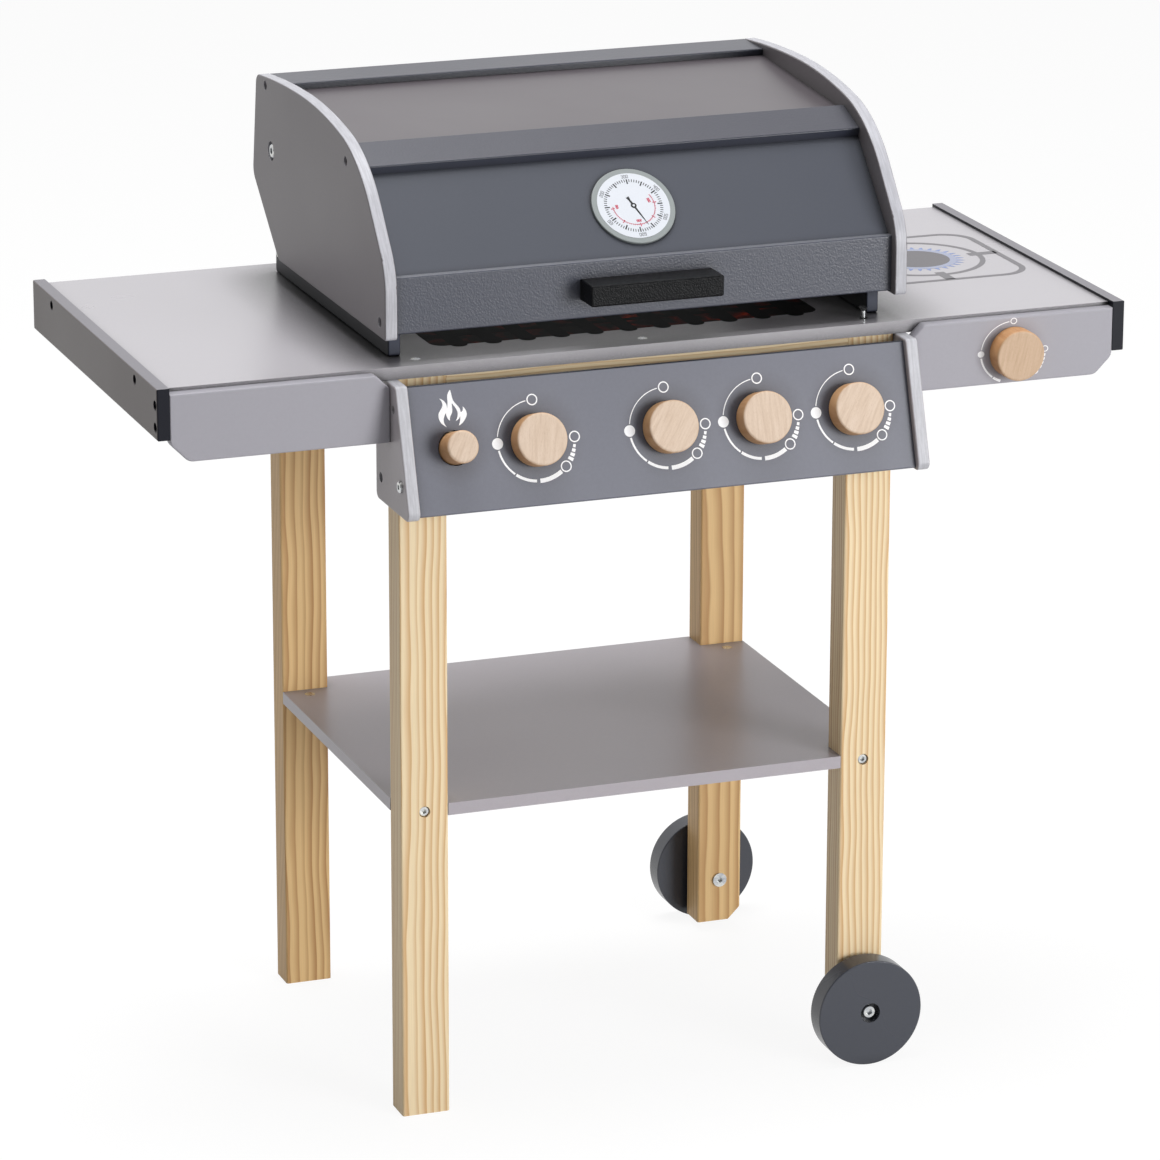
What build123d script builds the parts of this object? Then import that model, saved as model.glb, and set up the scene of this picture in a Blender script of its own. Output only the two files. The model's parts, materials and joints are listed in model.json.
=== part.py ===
from build123d import *
import os
from math import acos, atan, cos, degrees, hypot, radians, sin, tan

# Toy barbecue grill trolley of painted boards on pine legs, in millimetres.
# X runs to the viewer's right, the front faces -Y, Z is up from the floor.
os.makedirs("parts", exist_ok=True)

# Boards and legs
board = 9.0  # thickness of every painted board
edge_soft = 1.2  # softened edges of painted boards
leg_width = 35.0  # leg section from left to right
leg_depth = 24.0  # leg section from front to back
leg_soft = 1.5  # rounded long edges of the pine
legs_span = 368.0  # over the outer faces of the left and right legs
legs_reach = 300.0  # over the front faces and the rear faces of the legs
front_y = -135.9  # front faces of the front legs
crossbar_height = 35.0  # rails of leg stock under the table

# Table
top_z = 552.0  # work surface above the floor
top_length = 698.0  # tabletop between the end rails
top_front_over = 2.0  # tabletop in front of the legs
top_rear_over = 6.0  # tabletop behind the legs
rail_height = 36.0  # end rails
rail_proud = 2.0  # end rails above the work surface
rail_rear_over = 3.0  # end rails behind the tabletop
apron_height = 48.0  # boards along the front edge of both wings
apron_drop = 2.5  # apron top below the work surface
apron_outer_cut = 13.0  # cut lower corner beside the end rail
apron_outer_round = 8.0
apron_inner_cut = 10.0  # cut upper corner beside the control panel
apron_inner_round = 5.0

# Shelf
shelf_top = 232.0  # upper face of the shelf above the floor

# Control panel between two cheeks
panel_tilt = 18.0  # slope of the panel, its top leaning back
cheek_reach = 20.8  # front of a cheek's upper end before the legs
cheek_height = 89.0  # cheek below the tabletop
cheek_rear_gap = 2.0  # cheek's rear edge before the leg's rear face
cheek_foot_round = 5.5
cheek_brow_round = 3.0
panel_height = 90.0  # panel along its slope
panel_drop = 44.0  # middle of the panel below the tabletop's underside
panel_recess = 4.8  # panel face behind the front edges of the cheeks

# Knobs and the igniter button
left_knob_inset = 89.5  # first knob from the panel's left end
right_knob_insets = (182.0, 112.5, 43.0)  # other knobs from its right end
knob_diameter = 36.5
knob_height = 14.0
knob_soft = 1.6  # rounded rim of a knob
knob_gap = 0.3  # knob clear of the face before which it turns
side_knob_x = 271.5  # knob on the right apron
side_knob_drop = 25.2  # its centre below the apron's top edge
peg_diameter = 8.0  # turned peg that carries a knob
peg_bite = 8.0  # peg inside the knob
peg_head_diameter = 16.0
peg_head = 3.5  # thickness of the peg's head
button_inset = 31.0  # button from the panel's left end
button_diameter = 22.7
button_height = 18.0  # button out of the panel at rest
button_soft = 2.0
button_travel = 5.0
button_hole = 24.5  # hole in the panel round the button
collar_diameter = 27.0  # collar that keeps the button behind the panel
collar_thickness = 2.5
slide_gap = 0.2  # faces that move past or onto each other
cup_bore = 28.0  # cup that guides the collar and holds the spring
cup_wall = 2.0
cup_foot_diameter = 44.0
cup_foot = 2.5  # thickness of the cup's foot and floor
cup_screw_circle = 38.0
cup_screw_count = 3
cup_screw_length = 7.0
cup_screw_shank = 2.5
cup_screw_head = 4.6
cup_screw_head_height = 1.6
spring_room = 10.0  # room for the spring between collar and cup floor
spring_diameter = 17.0  # across the middle of the wire
spring_wire = 1.2
spring_turns = 4

# Wheels on the right legs
wheel_diameter = 80.0
wheel_width = 17.0
wheel_soft = 0.8
wheel_play = 0.3  # end play of a wheel on its bolt
hub_recess_diameter = 15.0
hub_recess = 6.0
spacer_length = 5.0  # between wheel and leg
spacer_diameter = 14.0
right_leg_gap = 6.5  # underside of the right legs above the floor
right_leg_cut = 10.0  # cut outer lower corner of the right legs

# Lid, placed from the middle of the legs (to the rear) and from its lower edge (up)
lid_gap = 18.0  # lower edge of the lid above the work surface
lid_front_over = 1.0  # lid front before the legs
lid_upright = 47.8  # straight front edge, before rounding
lid_brow = (-95.5, 114.4)  # where slope and crown would meet
lid_crown = (36.0, 133.0)  # highest place
lid_rear_top = (142.0, 127.3)
lid_rear_hip = (153.3, 52.5)
lid_rear_foot = 93.0  # lower end of the slanting rear cut
lid_foot_round = 3.0
lid_chin_round = 45.0
lid_brow_round = 110.0
lid_rear_top_round = 8.0
lid_hip_round = 12.0
lid_cut_round = 10.0
skin = 3.0  # thickness of the lid's two thin panels
groove = 4.0  # the skins enter the boards this far
skin_fit = 0.1  # clearance round a skin in its groove
front_board_height = 40.0  # board that carries the handle
front_board_recess = 7.5  # its face behind the front edges of the lid's sides
front_board_lift = 2.0  # above the lower edge of the lid's sides
front_skin_inset = 6.0  # skin behind the front board's face
front_skin_drop = 6.8  # skin below the middle board's upper front edge
mid_board_width = 32.0  # board along the brow
mid_board_tilt = 20.0
mid_board_at = (-66.5, 107.5)
top_board_width = 38.0  # board along the rear of the crown
top_board_at = (119.0, 123.0)
top_skin_drop_front = 4.2  # skin below the middle board's upper rear edge
top_skin_drop_rear = 4.9  # skin below the top board's upper face
handle_length = 98.0
handle_height = 15.0
handle_depth = 22.5
handle_lift = 15.0  # handle above the lower edge of the lid's sides
handle_soft = 1.5
dial_diameter = 60.5  # thermometer on the lid's front skin
dial_thickness = 2.0
dial_soft = 0.6
dial_rise = 38.5  # its centre along the skin above the front board
dial_x = 2.0  # its centre to the right of the lid's middle

# Stand that carries the lid
hinge_back = 107.3  # hinge axis behind the middle of the legs
hinge_rise = 95.6  # hinge axis above the work surface
hinge_side_gap = 1.5  # between a lid side and a stand side
stand_front_inset = 25.0  # front end of the stand behind the legs' front
stand_rear_inset = 16.5  # rear face of the stand before the legs' rear
stand_height = 83.0
stand_back_height = 70.0
tower_foot = 47.3  # foot of the hinge tower before the hinge
stand_soft = 2.0
lid_rest_gap = 0.3  # closed lid over the front corners of the stand

# Fasteners
screw_shank = 3.5
screw_head = 7.0
screw_head_height = 2.6
screw_fit = 0.05  # radial clearance of screws, bolts and pegs that stay still
running_fit = 0.06  # radial clearance of what turns
pilot_over = 1.0  # holes run on past the tips of screws
table_screw_inset = 14.0  # table screws from the outer faces of the legs
table_screw_length = 40.0
loose_screw_out = 8.0  # one table screw stands out of its hole
board_screw_length = 30.0
rail_screw_spread = 215.0
rail_screw_sink = 3.0  # screw heads below the face of the rails
apron_screw_drops = (7.5, 23.0)  # rail screws below the apron's top
apron_end_drops = (20.5, 40.5)  # cheek screws below the apron's top
cheek_screw_inset = 11.0
cheek_screw_drops = (38.0, 72.0)  # screws into the legs, below the tabletop
cheek_screw_sink = 4.0  # screw heads below the face of cheeks and lid sides
crossbar_screw_length = 60.0
crossbar_screw_inset = 7.0
panel_screw_drop = 67.0  # panel screws below the tabletop
panel_screw_head = 8.2
panel_screw_head_height = 2.0
dowel_diameter = 6.0
dowel_length = 24.0
dowel_bite = 5.0  # dowel inside the cheek
dowel_up = 30.0  # dowel above the middle of the panel
stand_screw_insets = (35.0, 75.0)  # from the stand's front end and rear face
stand_back_screw_rises = (15.0, 55.0)
handle_screw_spread = 60.0
shelf_bolt_diameter = 5.0
shelf_bolt_length = 36.0
shelf_bolt_head = 7.6
shelf_bolt_head_height = 3.5
shelf_bolt_sink = 1.5
shelf_bolt_recess_fit = 0.3
barrel_nut_diameter = 8.0
barrel_nut_inset = 11.0  # barrel nut behind the notch of the shelf
axle_diameter = 6.0
axle_head = 9.6
axle_head_height = 3.5
axle_tip_back = 4.0  # bolt tip before the far face of the leg
cap_nut_flange = 11.0
cap_nut_flange_height = 1.5
cap_nut_barrel = 8.4
cap_nut_length = 14.0
cap_nut_socket = 4.0
cap_nut_socket_depth = 2.5
cap_nut_web = 1.0
washer_diameter = 13.0
washer_thickness = 1.0
hinge_head = 10.0
hinge_head_height = 3.5
hinge_recess_diameter = 14.0  # recess in a lid side for washer and bolt head
hinge_recess = 4.7
hinge_nut_across = 10.0
hinge_nut_height = 5.0
bolt_head_soft = 0.6
socket_share = 0.45  # hexagon socket across its flats, as a share of the bolt's head
socket_depth_share = 0.6  # and its depth, as a share of the head's height

# Places that follow from the sizes
rear_y = front_y + legs_reach
middle_y = front_y + legs_reach / 2
leg_x = (legs_span - leg_width) / 2
half_span = legs_span / 2
cheek_outer = half_span + board
under_top = top_z - board
top_front = front_y - top_front_over
top_rear = rear_y + top_rear_over
half_top = top_length / 2
rail_outer = half_top + board
rail_front = top_front - board
rail_rear = top_rear + rail_rear_over
apron_top = top_z - apron_drop
apron_foot = apron_top - apron_height
apron_middle_y = top_front - board / 2
axle_z = wheel_diameter / 2
cheek_foot = under_top - cheek_height
lean = radians(panel_tilt)
sink_angle = 2 * degrees(atan((screw_head - screw_shank) / 2 / screw_head_height))


def cheek_front(z):
    """Y of the sloping front edges of the panel cheeks at height z."""
    return front_y - cheek_reach - tan(lean) * (under_top - z)


def facing(x, y, z, toward):
    """Plane at a point, with its normal out of the face that a fastener enters."""
    across = (1, 0, 0) if abs(toward[2]) > 0.9 else (0, 0, 1)
    return Plane(origin=(x, y, z), x_dir=across, z_dir=toward)


def on_side(places, side):
    return [at for at in places if at.origin.X * side > 0]


def at_end(places, end):
    return [at for at in places if (at.origin.Y - middle_y) * end > 0]


def drill(places, radius, depth, start=0.0):
    """Round holes that begin at a depth below each place."""
    with Locations(*places):
        with Locations((0, 0, -start)):
            Hole(radius, depth=depth)


def sink(places, depth, below=0.0):
    """Countersunk holes for screws whose heads lie below each place."""
    with Locations(*places):
        with Locations((0, 0, -below)):
            CounterSinkHole(
                screw_shank / 2 + screw_fit,
                screw_head / 2 + screw_fit,
                depth=depth - below,
                counter_sink_angle=sink_angle,
            )


def wood_screw(length):
    """Countersunk screw with its flat head at the origin, pointing down."""
    with BuildPart() as one:
        with BuildSketch(Plane.XZ):
            with BuildLine():
                Polyline(
                    (0, 0),
                    (screw_head / 2, 0),
                    (screw_shank / 2, -screw_head_height),
                    (screw_shank / 2, screw_shank - length),
                    (0, -length),
                    close=True,
                )
            make_face()
        revolve(axis=Axis.Z)
    return one.part


def headed_bolt(length, shank, head, head_height):
    """Bolt with its socket head above the origin and its shank pointing down."""
    with BuildPart() as one:
        with BuildSketch(Plane.XZ):
            with BuildLine():
                Polyline(
                    (0, head_height),
                    (head / 2 - bolt_head_soft, head_height),
                    (head / 2, head_height - bolt_head_soft),
                    (head / 2, 0),
                    (shank / 2, 0),
                    (shank / 2, -length),
                    (0, -length),
                    close=True,
                )
            make_face()
        revolve(axis=Axis.Z)
        with BuildSketch(Plane.XY.offset(head_height)):
            RegularPolygon(socket_share * head / 2, 6, major_radius=False)
        extrude(amount=-socket_depth_share * head_height, mode=Mode.SUBTRACT)
    return one.part


# Planes on the faces that the fasteners enter
table_screws_at = [
    facing(x, y, top_z, (0, 0, 1))
    for x in (-leg_x, 0, leg_x)
    for y in (front_y + table_screw_inset, rear_y - table_screw_inset)
]
rail_screws_into_top = [
    facing(side * rail_outer, middle_y + step * rail_screw_spread / 2, top_z - board / 2, (side, 0, 0))
    for side in (-1, 1)
    for step in (-1, 1)
]
rail_screws_into_aprons = [
    facing(side * rail_outer, apron_middle_y, apron_top - drop, (side, 0, 0))
    for side in (-1, 1)
    for drop in apron_screw_drops
]
apron_screws_at = [
    facing(side * half_span, apron_middle_y, apron_top - drop, (-side, 0, 0))
    for side in (-1, 1)
    for drop in apron_end_drops
]
cheek_screws_at = [
    facing(side * cheek_outer, front_y + cheek_screw_inset, under_top - drop, (side, 0, 0))
    for side in (-1, 1)
    for drop in cheek_screw_drops
]
crossbar_screws_at = [
    facing(side * half_span, y, under_top - crossbar_height / 2, (side, 0, 0))
    for side in (-1, 1)
    for y in (front_y + crossbar_screw_inset, rear_y - crossbar_screw_inset)
]
shelf_bolts_at = [
    facing(side * leg_x, y, shelf_top - board / 2, (0, end, 0))
    for side in (-1, 1)
    for y, end in ((front_y, -1), (rear_y, 1))
]
barrel_nuts_at = [
    (side * leg_x, y, shelf_top)
    for side in (-1, 1)
    for y in (front_y + leg_depth + barrel_nut_inset, rear_y - leg_depth - barrel_nut_inset)
]
stand_screws_at = [
    facing(side * (half_span - hinge_side_gap - board / 2), y, under_top, (0, 0, -1))
    for side in (-1, 1)
    for y in (
        front_y + stand_front_inset + stand_screw_insets[0],
        rear_y - stand_rear_inset - stand_screw_insets[1],
    )
]
axle_bolts_at = [facing(leg_x, front_y, axle_z, (0, -1, 0)), facing(leg_x, rear_y, axle_z, (0, 1, 0))]
cap_nuts_at = [
    facing(leg_x, front_y + leg_depth, axle_z, (0, 1, 0)),
    facing(leg_x, rear_y - leg_depth, axle_z, (0, -1, 0)),
]

# The sloping face of the control panel, its origin in the middle of the panel
panel_z = under_top - panel_drop
panel_face = Plane(
    origin=(0, cheek_front(panel_z) + panel_recess / cos(lean), panel_z),
    x_dir=(1, 0, 0),
    z_dir=(0, -cos(lean), sin(lean)),
)
panel_screw_z = under_top - panel_screw_drop
panel_screw_y = cheek_front(panel_screw_z) + (panel_recess + board / 2) / cos(lean)
panel_screws_at = [
    facing(side * cheek_outer, panel_screw_y, panel_screw_z, (side, 0, 0)) for side in (-1, 1)
]
dowel_spot = panel_face.from_local_coords(Vector(0, dowel_up, -board / 2))
dowels_at = [
    facing(side * (half_span + dowel_bite), dowel_spot.Y, dowel_spot.Z, (side, 0, 0)) for side in (-1, 1)
]
knob_xs = (left_knob_inset - half_span, *(half_span - inset for inset in right_knob_insets))
knob_planes = [Plane(panel_face.location * Location((x, 0, 0))) for x in knob_xs]
side_knob_plane = facing(side_knob_x, rail_front, apron_top - side_knob_drop, (0, -1, 0))
button_plane = Plane(panel_face.location * Location((button_inset - half_span, 0, 0)))
cup_screw_spot = Vector(0, cup_screw_circle / 2, -board - cup_foot)
cup_screws_at = [
    Plane(
        origin=button_plane.from_local_coords(cup_screw_spot.rotate(Axis.Z, turn * 360 / cup_screw_count)),
        x_dir=(1, 0, 0),
        z_dir=-panel_face.z_dir,
    )
    for turn in range(cup_screw_count)
]

# Tabletop: one long board over the legs and crossbars
with BuildPart() as tabletop:
    with BuildSketch(Plane.XY.offset(under_top)):
        with Locations((0, (top_front + top_rear) / 2)):
            Rectangle(top_length, top_rear - top_front)
    extrude(amount=board)
    sink(table_screws_at, board)
    hole_end = rail_screw_sink + board_screw_length + pilot_over
    drill(rail_screws_into_top, screw_shank / 2 + screw_fit, hole_end - board, board)
    sink(stand_screws_at, board)
tabletop.part.label = "tabletop"
export_step(tabletop.part, "parts/tabletop.step")

# End rails: upright boards that cap the tabletop and the outer ends of the aprons
for side, name in ((-1, "left_end_rail"), (1, "right_end_rail")):
    with BuildPart() as end_rail:
        with BuildSketch(Plane.XY.offset(top_z + rail_proud - rail_height)):
            with Locations((side * (half_top + board / 2), (rail_front + rail_rear) / 2)):
                Rectangle(board, rail_rear - rail_front)
        extrude(amount=rail_height)
        fillet(end_rail.faces().sort_by(Axis.X)[-1 if side > 0 else 0].edges(), radius=edge_soft)
        sink(on_side(rail_screws_into_top + rail_screws_into_aprons, side), board, rail_screw_sink)
    end_rail.part.label = name
    export_step(end_rail.part, f"parts/{name}.step")

# Aprons: boards before the tabletop, each from an end rail to the control panel
for side, name in ((-1, "left_apron"), (1, "right_apron")):
    inner = side * cheek_outer
    outer = side * half_top
    with BuildPart() as apron:
        with BuildSketch(Plane.XZ.offset(-top_front)):
            with BuildLine():
                Polyline(
                    (inner, apron_foot),
                    (outer - side * apron_outer_cut, apron_foot),
                    (outer, apron_foot + apron_outer_cut),
                    (outer, apron_top),
                    (inner + side * apron_inner_cut, apron_top),
                    (inner, apron_top - apron_inner_cut),
                    close=True,
                )
            make_face()
            outward = vertices().sort_by(Axis.X, reverse=side < 0)
            fillet(outward[-3:].sort_by(Axis.Y)[:2], radius=apron_outer_round)
            outward = vertices().sort_by(Axis.X, reverse=side < 0)
            fillet(outward[:3].sort_by(Axis.Y)[-2:], radius=apron_inner_round)
        extrude(amount=board)
        fillet(apron.faces().sort_by(Axis.Y)[0].edges(), radius=edge_soft)
        drill(
            on_side(rail_screws_into_aprons, side),
            screw_shank / 2 + screw_fit,
            rail_screw_sink + board_screw_length + pilot_over - board,
            board,
        )
        drill(
            on_side(apron_screws_at, side),
            screw_shank / 2 + screw_fit,
            board_screw_length + pilot_over - board,
            board,
        )
        if side > 0:
            drill([side_knob_plane], peg_diameter / 2 + running_fit, board)
    apron.part.label = name
    export_step(apron.part, f"parts/{name}.step")

# Legs: pine posts, the two right ones shorter because they stand on wheels
leg_places = (
    ("leg_front_left", -1, -1),
    ("leg_front_right", 1, -1),
    ("leg_rear_left", -1, 1),
    ("leg_rear_right", 1, 1),
)
for name, side, end in leg_places:
    foot_z = right_leg_gap if side > 0 else 0.0
    leg_y = middle_y + end * (legs_reach - leg_depth) / 2
    with BuildPart() as leg:
        with BuildSketch(Plane.XY.offset(foot_z)):
            with Locations((side * leg_x, leg_y)):
                RectangleRounded(leg_width, leg_depth, leg_soft)
        extrude(amount=under_top - foot_z)
        if side > 0:
            with BuildSketch(Plane.XZ.offset(-rear_y)):
                with BuildLine():
                    Polyline(
                        (half_span - right_leg_cut, foot_z),
                        (half_span, foot_z),
                        (half_span, foot_z + right_leg_cut),
                        close=True,
                    )
                make_face()
            extrude(amount=legs_reach, mode=Mode.SUBTRACT)
            drill(at_end(axle_bolts_at, end), axle_diameter / 2 + screw_fit, leg_depth)
            drill(at_end(cap_nuts_at, end), cap_nut_barrel / 2 + screw_fit, cap_nut_length)
        drill(
            at_end(on_side(table_screws_at, side), end),
            screw_shank / 2 + screw_fit,
            table_screw_length + pilot_over - board,
            board,
        )
        with Locations(*at_end(on_side(shelf_bolts_at, side), end)):
            CounterBoreHole(
                shelf_bolt_diameter / 2 + screw_fit,
                shelf_bolt_head / 2 + shelf_bolt_recess_fit,
                shelf_bolt_sink + shelf_bolt_head_height,
                depth=leg_depth,
            )
        sink(at_end(on_side(crossbar_screws_at, side), end), leg_width)
        if end < 0:
            drill(
                on_side(cheek_screws_at, side),
                screw_shank / 2 + screw_fit,
                cheek_screw_sink + board_screw_length + pilot_over - board,
                board,
            )
    leg.part.label = name
    export_step(leg.part, f"parts/{name}.step")

# Crossbars: leg stock between the legs, under the long edges of the tabletop
for name, end in (("front_crossbar", -1), ("rear_crossbar", 1)):
    with BuildPart() as crossbar:
        with BuildSketch(Plane.YZ.offset(leg_width - half_span)):
            with Locations((middle_y + end * (legs_reach - leg_depth) / 2, under_top - crossbar_height / 2)):
                RectangleRounded(leg_depth, crossbar_height, leg_soft)
        extrude(amount=legs_span - 2 * leg_width)
        middle_screws = [at for at in at_end(table_screws_at, end) if at.origin.X == 0]
        drill(middle_screws, screw_shank / 2 + screw_fit, crossbar_height, board)
        drill(
            at_end(crossbar_screws_at, end),
            screw_shank / 2 + screw_fit,
            crossbar_screw_length + pilot_over - leg_width,
            leg_width,
        )
    crossbar.part.label = name
    export_step(crossbar.part, f"parts/{name}.step")

# Shelf: one board notched round the four legs, with holes for bolts and barrel nuts
with BuildPart() as shelf:
    with BuildSketch(Plane.XY.offset(shelf_top - board)):
        with Locations((0, middle_y)):
            Rectangle(legs_span, legs_reach)
            with GridLocations(legs_span - leg_width, legs_reach - leg_depth, 2, 2):
                Rectangle(leg_width, leg_depth, mode=Mode.SUBTRACT)
    extrude(amount=board)
    bolt_end = shelf_bolt_sink + shelf_bolt_head_height + shelf_bolt_length
    drill(shelf_bolts_at, shelf_bolt_diameter / 2 + screw_fit, bolt_end + pilot_over - leg_depth, leg_depth)
    with Locations(*barrel_nuts_at):
        Hole(barrel_nut_diameter / 2 + screw_fit, depth=board)
shelf.part.label = "shelf"
export_step(shelf.part, "parts/shelf.step")

# Panel cheeks: boards on the outer faces of the front legs that hold the control panel
for side, name in ((-1, "panel_cheek_left"), (1, "panel_cheek_right")):
    cheek_rear = front_y + leg_depth - cheek_rear_gap
    with BuildPart() as cheek:
        with BuildSketch(Plane.YZ.offset(side * (half_span + board / 2))):
            with BuildLine():
                Polyline(
                    (cheek_rear, under_top),
                    (cheek_rear, cheek_foot),
                    (cheek_front(cheek_foot), cheek_foot),
                    (cheek_front(under_top), under_top),
                    close=True,
                )
            make_face()
            fillet(vertices().group_by(Axis.Y)[0], radius=cheek_foot_round)
            fillet(vertices().group_by(Axis.Y)[-1].sort_by(Axis.X)[0], radius=cheek_brow_round)
        extrude(amount=board / 2, both=True)
        fillet(cheek.faces().filter_by(Axis.X).edges(), radius=edge_soft)
        sink(on_side(cheek_screws_at, side), board, cheek_screw_sink)
        drill(on_side(panel_screws_at, side), screw_shank / 2 + screw_fit, board)
        drill(on_side(dowels_at, side), dowel_diameter / 2 + screw_fit, dowel_bite)
        sink(on_side(apron_screws_at, side), board)
    cheek.part.label = name
    export_step(cheek.part, f"parts/{name}.step")

# Control panel: sloping board with bores for the knob pegs and the button
with BuildPart() as control_panel:
    with BuildSketch(panel_face):
        Rectangle(legs_span, panel_height)
    extrude(amount=-board)
    front_face = control_panel.faces().sort_by(Axis((0, 0, 0), panel_face.z_dir))[-1]
    fillet(front_face.edges().filter_by(Axis.X), radius=edge_soft)
    drill(knob_planes, peg_diameter / 2 + running_fit, board)
    drill([button_plane], button_hole / 2, board)
    drill(panel_screws_at, screw_shank / 2 + screw_fit, board_screw_length + pilot_over - board, board)
    drill(dowels_at, dowel_diameter / 2 + screw_fit, dowel_length + pilot_over - dowel_bite, dowel_bite)
    drill(cup_screws_at, cup_screw_shank / 2 + screw_fit, cup_screw_length + pilot_over / 2)
control_panel.part.label = "control_panel"
export_step(control_panel.part, "parts/control_panel.step")

# Knobs and their pegs: each knob is glued to a peg whose head stays behind the board
turning = [(f"knob_{number}", plane) for number, plane in enumerate(knob_planes, start=1)]
turning.append(("side_knob", side_knob_plane))
for name, plane in turning:
    with BuildPart() as knob:
        with BuildSketch(plane.offset(knob_gap)):
            Circle(knob_diameter / 2)
            Circle(peg_diameter / 2 + screw_fit, mode=Mode.SUBTRACT)
        extrude(amount=peg_bite + screw_fit)
        with BuildSketch(plane.offset(knob_gap + peg_bite + screw_fit)):
            Circle(knob_diameter / 2)
        extrude(amount=knob_height - peg_bite - screw_fit)
        along = Axis((0, 0, 0), plane.z_dir)
        fillet(knob.faces().filter_by(along).sort_by(along)[-1].edges(), radius=knob_soft)
    knob.part.label = name
    export_step(knob.part, f"parts/{name}.step")
    with BuildPart() as peg:
        with BuildSketch(plane.offset(-board - slide_gap)):
            Circle(peg_head_diameter / 2)
        extrude(amount=-peg_head)
        fillet(peg.edges(), radius=bolt_head_soft)
        with BuildSketch(plane.offset(-board - slide_gap - peg_head / 2)):
            Circle(peg_diameter / 2)
        extrude(amount=peg_head / 2 + slide_gap + board + knob_gap + peg_bite)
    peg.part.label = f"{name}_peg"
    export_step(peg.part, f"parts/{name}_peg.step")

# Igniter button: a cap on a collar that slides in a cup behind the panel
collar_back = -board - slide_gap - collar_thickness
cup_floor = collar_back - spring_room
with BuildPart() as igniter_button:
    with BuildSketch(button_plane.offset(collar_back)):
        Circle(collar_diameter / 2)
    extrude(amount=collar_thickness)
    with BuildSketch(button_plane.offset(collar_back + collar_thickness)):
        Circle(button_diameter / 2)
    extrude(amount=slide_gap + board + button_height)
    fillet(igniter_button.faces().sort_by(Axis((0, 0, 0), panel_face.z_dir))[-1].edges(), radius=button_soft)
igniter_button.part.label = "igniter_button"
export_step(igniter_button.part, "parts/igniter_button.step")

with BuildPart() as igniter_cup:
    with BuildSketch(button_plane.offset(cup_floor - cup_foot)):
        Circle(cup_bore / 2 + cup_wall)
    extrude(amount=-board - cup_floor + cup_foot)
    with BuildSketch(button_plane.offset(-board)):
        Circle(cup_foot_diameter / 2)
    extrude(amount=-cup_foot)
    with BuildSketch(button_plane.offset(-board)):
        Circle(cup_bore / 2)
    extrude(amount=cup_floor + board, mode=Mode.SUBTRACT)
    drill(cup_screws_at, cup_screw_shank / 2 + screw_fit, cup_foot)
igniter_cup.part.label = "igniter_cup"
export_step(igniter_cup.part, "parts/igniter_cup.step")

with BuildPart() as spring:
    with BuildLine():
        coil = Helix(
            pitch=(spring_room - spring_wire) / spring_turns,
            height=spring_room - spring_wire,
            radius=spring_diameter / 2,
        )
    with BuildSketch(Plane(origin=coil @ 0, z_dir=coil % 0)):
        Circle(spring_wire / 2)
    sweep(path=coil, is_frenet=True)
with BuildPart() as igniter_spring:
    with Locations(button_plane.offset(cup_floor + spring_wire / 2)):
        add(spring.part)
igniter_spring.part.label = "igniter_spring"
export_step(igniter_spring.part, "parts/igniter_spring.step")

cup_screw = headed_bolt(cup_screw_length, cup_screw_shank, cup_screw_head, cup_screw_head_height)
with BuildPart() as igniter_cup_screws:
    with Locations(*cup_screws_at):
        add(cup_screw)
igniter_cup_screws.part.label = "igniter_cup_screws"
export_step(igniter_cup_screws.part, "parts/igniter_cup_screws.step")

# Wheels: painted discs that turn on headed bolts outside the right legs
for name, end in (("wheel_front", -1), ("wheel_rear", 1)):
    wheel_face = at_end(axle_bolts_at, end)[0].offset(spacer_length + wheel_width)
    with BuildPart() as wheel:
        with BuildSketch(wheel_face):
            Circle(wheel_diameter / 2)
        extrude(amount=-wheel_width)
        fillet(wheel.edges().filter_by(GeomType.CIRCLE), radius=wheel_soft)
        with Locations(wheel_face):
            CounterBoreHole(
                axle_diameter / 2 + running_fit,
                hub_recess_diameter / 2,
                hub_recess,
                depth=wheel_width,
            )
    wheel.part.label = name
    export_step(wheel.part, f"parts/{name}.step")

with BuildPart() as wheel_spacers:
    for at in axle_bolts_at:
        with BuildSketch(at):
            Circle(spacer_diameter / 2)
            Circle(axle_diameter / 2 + screw_fit, mode=Mode.SUBTRACT)
        extrude(amount=spacer_length)
wheel_spacers.part.label = "wheel_spacers"
export_step(wheel_spacers.part, "parts/wheel_spacers.step")

axle_seat = spacer_length + wheel_width - hub_recess + wheel_play
axle_bolt = headed_bolt(axle_seat + leg_depth - axle_tip_back, axle_diameter, axle_head, axle_head_height)
with BuildPart() as wheel_bolts:
    with Locations(*[at.offset(axle_seat) for at in axle_bolts_at]):
        add(axle_bolt)
wheel_bolts.part.label = "wheel_bolts"
export_step(wheel_bolts.part, "parts/wheel_bolts.step")

# Cap nuts: flanged sleeves in the inner faces of the right legs
with BuildPart() as cap_nut:
    with BuildSketch(Plane.XY):
        Circle(cap_nut_flange / 2)
    extrude(amount=cap_nut_flange_height)
    with BuildSketch(Plane.XY):
        Circle(cap_nut_barrel / 2)
    extrude(amount=-cap_nut_length)
    with BuildSketch(Plane.XY.offset(cap_nut_flange_height)):
        RegularPolygon(cap_nut_socket / 2, 6, major_radius=False)
    extrude(amount=-cap_nut_socket_depth, mode=Mode.SUBTRACT)
    socket_floor = cap_nut_flange_height - cap_nut_socket_depth - cap_nut_web
    with BuildSketch(Plane.XY.offset(socket_floor)):
        Circle(axle_diameter / 2 + screw_fit)
    extrude(amount=-cap_nut_length, mode=Mode.SUBTRACT)
with BuildPart() as wheel_cap_nuts:
    with Locations(*cap_nuts_at):
        add(cap_nut.part)
wheel_cap_nuts.part.label = "wheel_cap_nuts"
export_step(wheel_cap_nuts.part, "parts/wheel_cap_nuts.step")

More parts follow.
